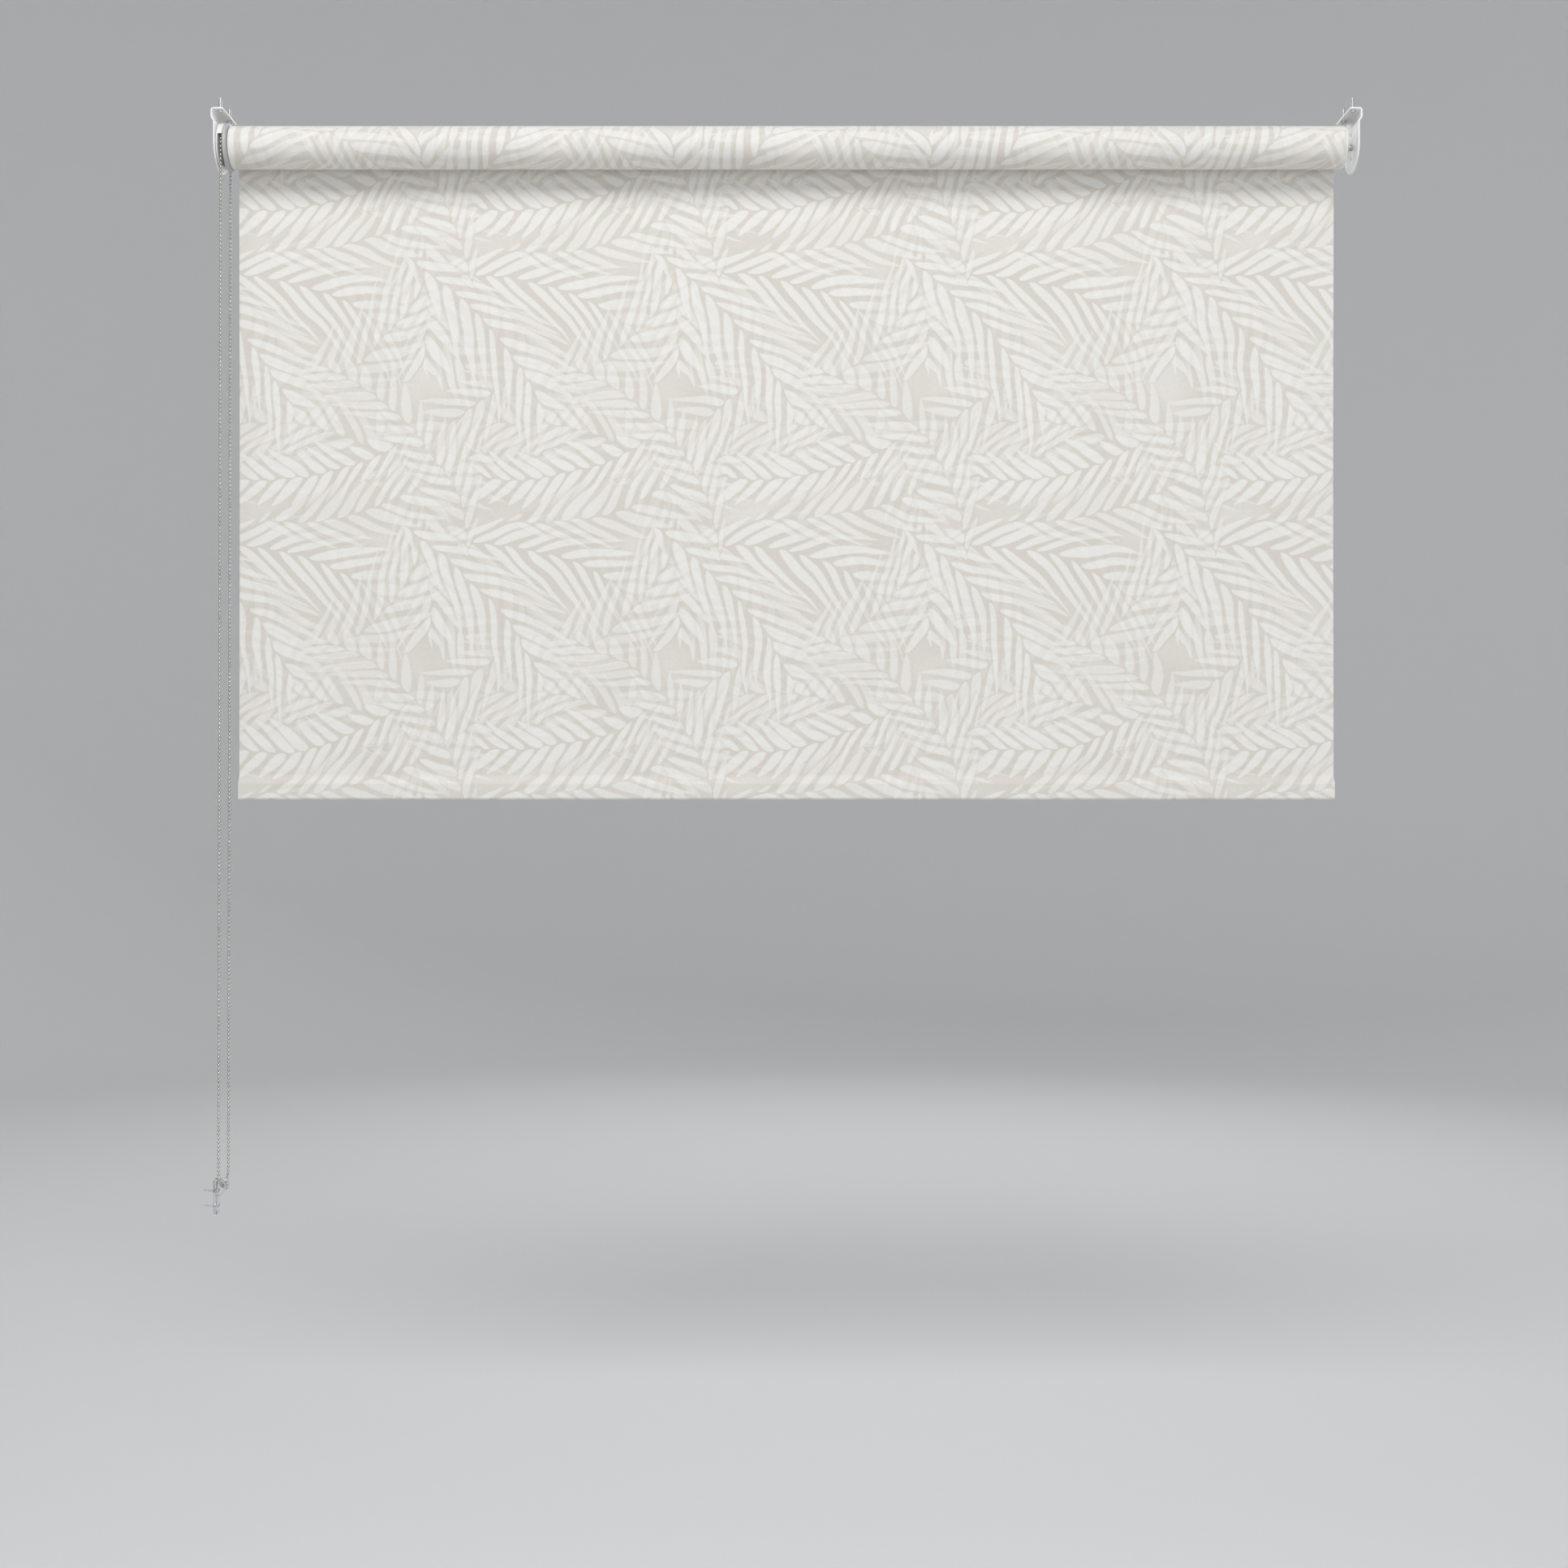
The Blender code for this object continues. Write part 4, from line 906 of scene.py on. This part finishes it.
grey_moulding = moulded(
    "grey_moulding", (0.47, 0.475, 0.475), (0.435, 0.44, 0.44), 0.0006, 0.000012, 0.38, 0.52
)
low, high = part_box("control_cover")
cover_r = (high.z - low.z) / 2
SLEEVE_R = 0.0094
turned_ring(
    "roll_side_cover",
    [
        (low.x, SLEEVE_R + 0.0004, 0.0002),
        (low.x, cover_r, 0.0005),
        (high.x - 0.0011, cover_r, 0.0006),
        (high.x - 0.0007, cover_r - 0.0012, 0.0005),
        (high.x, cover_r - 0.0022, 0.0004),
        (high.x, cover_r - 0.0040, 0.0003),
        (high.x - 0.0006, cover_r - 0.0044, 0.0003),
        (high.x - 0.0006, SLEEVE_R + 0.0030, 0.0003),
        (high.x, SLEEVE_R + 0.0026, 0.0003),
        (high.x, SLEEVE_R + 0.0004, 0.0002),
    ],
    "root",
    "grey_plastic",
    grey_moulding,
    "control_cover",
)
dark_moulding = moulded(
    "acetal_grey", (0.34, 0.345, 0.35), (0.30, 0.305, 0.31), 0.0006, 0.00001, 0.34, 0.48
)
carried("clutch_spindle", dark_moulding)
carried("tube_adaptor", grey_moulding)

spring_steel, tree, shader = finish("oiled_spring_steel", (0.50, 0.50, 0.51), 0.24, Metallic=1.0)
scale_marks = use(tree, drawn_lines, Place=place(tree), Line=0.0003, Run=0.0006)["Line"]
roughened(tree, shader, scale_marks, 0.00001, 0.18, 0.36)
tree.links.new(mixed(tree, scale_marks, (0.40, 0.39, 0.38), (0.58, 0.58, 0.59)), shader.inputs["Base Color"])
for source in ("spindle_retainer", "wrap_spring_1", "wrap_spring_2"):
    carried(source, spring_steel)


# ---------------------------------------------------------------------------
# Sprocket
# Moulded in acetal. Its rim has a pocket for each of 28 beads, with a slot between them for the wire, and
# its sleeve runs on into the tube, where it drives the wrap springs.
# ---------------------------------------------------------------------------

GROOVE_R = BEAD_R + 0.0003
RIM_HALF = 0.0019
RIM_R = PITCH_R - GROOVE_R / 2
SLEEVE_BORE_R = 0.0074
WIRE_SLOT = 0.0008
CHEEK = 0.004  # how far out from the bore the rim's cheeks start
JOIN = 0.0002  # the sprocket is one moulding, so its shapes reach this far into each other
FINGER_LENGTH = 0.018
FINGER_WALL = 0.0008
FINGER_ARC = (172, 368)  # degrees round the axis
steps = SPROCKET_BEADS * 12
span = 2 * np.pi / SPROCKET_BEADS
angle = np.arange(steps) * 2 * np.pi / steps
# The rim is the pitch circle less the deeper of a ball, sqrt(r^2 - along^2 - aside^2), and a round slot.
from_pocket = PITCH_R * ((angle / span + 0.5) % 1 - 0.5) * span
aside = np.linspace(-RIM_HALF, RIM_HALF, 19)[:, None]
sphere = np.sqrt(np.clip(GROOVE_R**2 - from_pocket**2 - aside**2, 0, None))
slot_depth = np.sqrt(np.clip(WIRE_SLOT**2 - aside**2, 0, None))
tread = np.minimum(PITCH_R - np.maximum(sphere, slot_depth), RIM_R)
bore = np.full((1, steps), SLEEVE_BORE_R)
rows_r = np.vstack([bore, bore + CHEEK, tread, bore + CHEEK, bore])
rows_x = np.concatenate([[-RIM_HALF, -RIM_HALF], aside[:, 0], [RIM_HALF, RIM_HALF]])[:, None] + CHAIN_X
rim = ring_skin(rows_x, rows_r)
sprocket = piece("pocketed_sprocket", *rim, "roller", "grey_plastic", dark_moulding, smooth=False)
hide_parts("chain_sprocket")

finger_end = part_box("chain_sprocket")[1].x
sleeve_start = CHAIN_X + RIM_HALF
sleeve_end = finger_end - FINGER_LENGTH
turned_ring(
    "sprocket_sleeve",
    [
        (sleeve_start - JOIN, SLEEVE_BORE_R, 0.00005),
        (sleeve_start - JOIN, SLEEVE_R, 0.00005),
        (sleeve_end, SLEEVE_R, 0.0002),
        (sleeve_end, SLEEVE_BORE_R, 0.0002),
    ],
    "roller",
    "grey_plastic",
    dark_moulding,
    None,
    steps=64,
)
finger_angle = np.radians(np.linspace(*FINGER_ARC, 40))[:, None, None]
finger_x = np.linspace(sleeve_end - JOIN, finger_end, 5)[None, :, None]


def finger_face(radius):
    """A grid of points at one radius, round the finger's arc and along its length."""
    y, z = radius * np.cos(finger_angle), AXIS_Z + radius * np.sin(finger_angle)
    return np.concatenate([finger_x + 0 * finger_angle, y + 0 * finger_x, z + 0 * finger_x], axis=-1)


piece(
    "sprocket_finger",
    *skin(finger_face(SLEEVE_R), finger_face(SLEEVE_R - FINGER_WALL)),
    "roller",
    "grey_plastic",
    dark_moulding,
)


# ---------------------------------------------------------------------------
# Tube and idle end
# The aluminium tube, the spline that grips the cloth in its groove, and a white plug whose spring-loaded
# pin goes into the idle bracket.
# ---------------------------------------------------------------------------

carried("roller_tube", aluminium)
carried("fabric_spline", white_moulding)
softened("idle_end_plug", "idle_plug", 0.0004, white_moulding, "roller")
carried("idle_clip", grey_moulding)
carried("idle_pin", zinc)

# The coil spring behind the pin, in spring steel, on a mesh of its own.
coil_mesh = frame["nodes"]["idle_spring"].data.copy()
coil_mesh.materials.clear()
coil_mesh.materials.append(spring_steel)
coil = put("pin_spring", coil_mesh)
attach(coil, "roller")
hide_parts("idle_spring")
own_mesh(coil)


# ---------------------------------------------------------------------------
# Chain tidy
# Moulded in clear polycarbonate, in one piece: a plate that two screws hold to the wall, and a bowl in
# which the chain runs, so that the loop is held down.
# ---------------------------------------------------------------------------

glassy = {"Transmission_Weight": 1.0, "IOR": 1.585}
clear, tree, shader = finish("clear_polycarbonate", (0.93, 0.95, 0.95), 0.06, **glassy)
ripple_marks = use(tree, grain, Place=place(tree), Size=0.004, Rough=0.4)["Grain"]
roughened(tree, shader, ripple_marks, 0.00004, 0.03, 0.12)
softened("chain_clip", "chain_tidy", 0.0005, clear, "root")


# ---------------------------------------------------------------------------
# Studio
# A round pale floor of paper that curves up into a wall all round, a large soft light high in front, a
# fill in front and another behind, and a faint even sky.
# ---------------------------------------------------------------------------

FLOOR_Z = -1.47
WALL_R = 4.6
WALL_TOP = 2.8
CURVE_R = 1.2
sweep = np.linspace(-np.pi / 2, 0, 17)
foot_out = WALL_R - CURVE_R + CURVE_R * np.cos(sweep)
foot_up = FLOOR_Z + CURVE_R + CURVE_R * np.sin(sweep)
wall_foot = np.stack([foot_out, foot_up], axis=1)
stage_path = np.vstack([(0.02, FLOOR_Z), (1.8, FLOOR_Z), wall_foot, (WALL_R, WALL_TOP)])
about = np.linspace(0, 2 * np.pi, 97)[:-1]
out, up = stage_path[:, :1], stage_path[:, 1:]
points = np.stack([out * np.cos(about), out * np.sin(about), up + 0 * about], axis=-1)
index = np.arange(points.shape[0] * points.shape[1]).reshape(points.shape[:2])
onward = np.roll(index, -1, axis=1)
studio_faces = np.stack([index[:-1], onward[:-1], onward[1:], index[1:]], axis=-1).reshape(-1, 4)[:, ::-1]
studio_faces = studio_faces.tolist() + [index[0].tolist()]
paper, _, _ = finish("paper_backdrop", (0.74, 0.745, 0.75), 0.9)
mesh = bpy.data.meshes.new("studio_floor")
mesh.from_pydata(points.reshape(-1, 3).tolist(), [], studio_faces)
mesh.shade_smooth()
mesh.materials.append(paper)
put("studio_floor", mesh)


def soft_light(name, at, towards, size, power):
    """A rectangular lamp of a size in metres and a power in watts, turned towards a point."""
    lamp = bpy.data.lights.new(name, "AREA")
    lamp.shape = "RECTANGLE"
    lamp.size, lamp.size_y = size
    lamp.energy = power
    obj = put(name, lamp)
    obj.location = at
    way = mathutils.Vector(towards) - mathutils.Vector(at)
    obj.rotation_euler = way.to_track_quat("-Z", "Y").to_euler()


soft_light("key", (-0.4, -2.4, 1.9), (0, 0, -0.4), (2.6, 1.2), 70)
soft_light("front_fill", (0.8, -3.0, -0.6), (0, 0, -0.6), (2.4, 2.4), 22)
soft_light("window_side", (0.5, 2.6, 0.9), (0, 0, -0.5), (2.4, 1.6), 30)

world = bpy.data.worlds.new("studio")
world.use_nodes = True
sky = world.node_tree.nodes["Background"]
sky.inputs["Color"].default_value = (0.95, 0.97, 1.0, 1.0)
sky.inputs["Strength"].default_value = 0.36
bpy.context.scene.world = world
bpy.context.scene.view_settings.view_transform = "Standard"
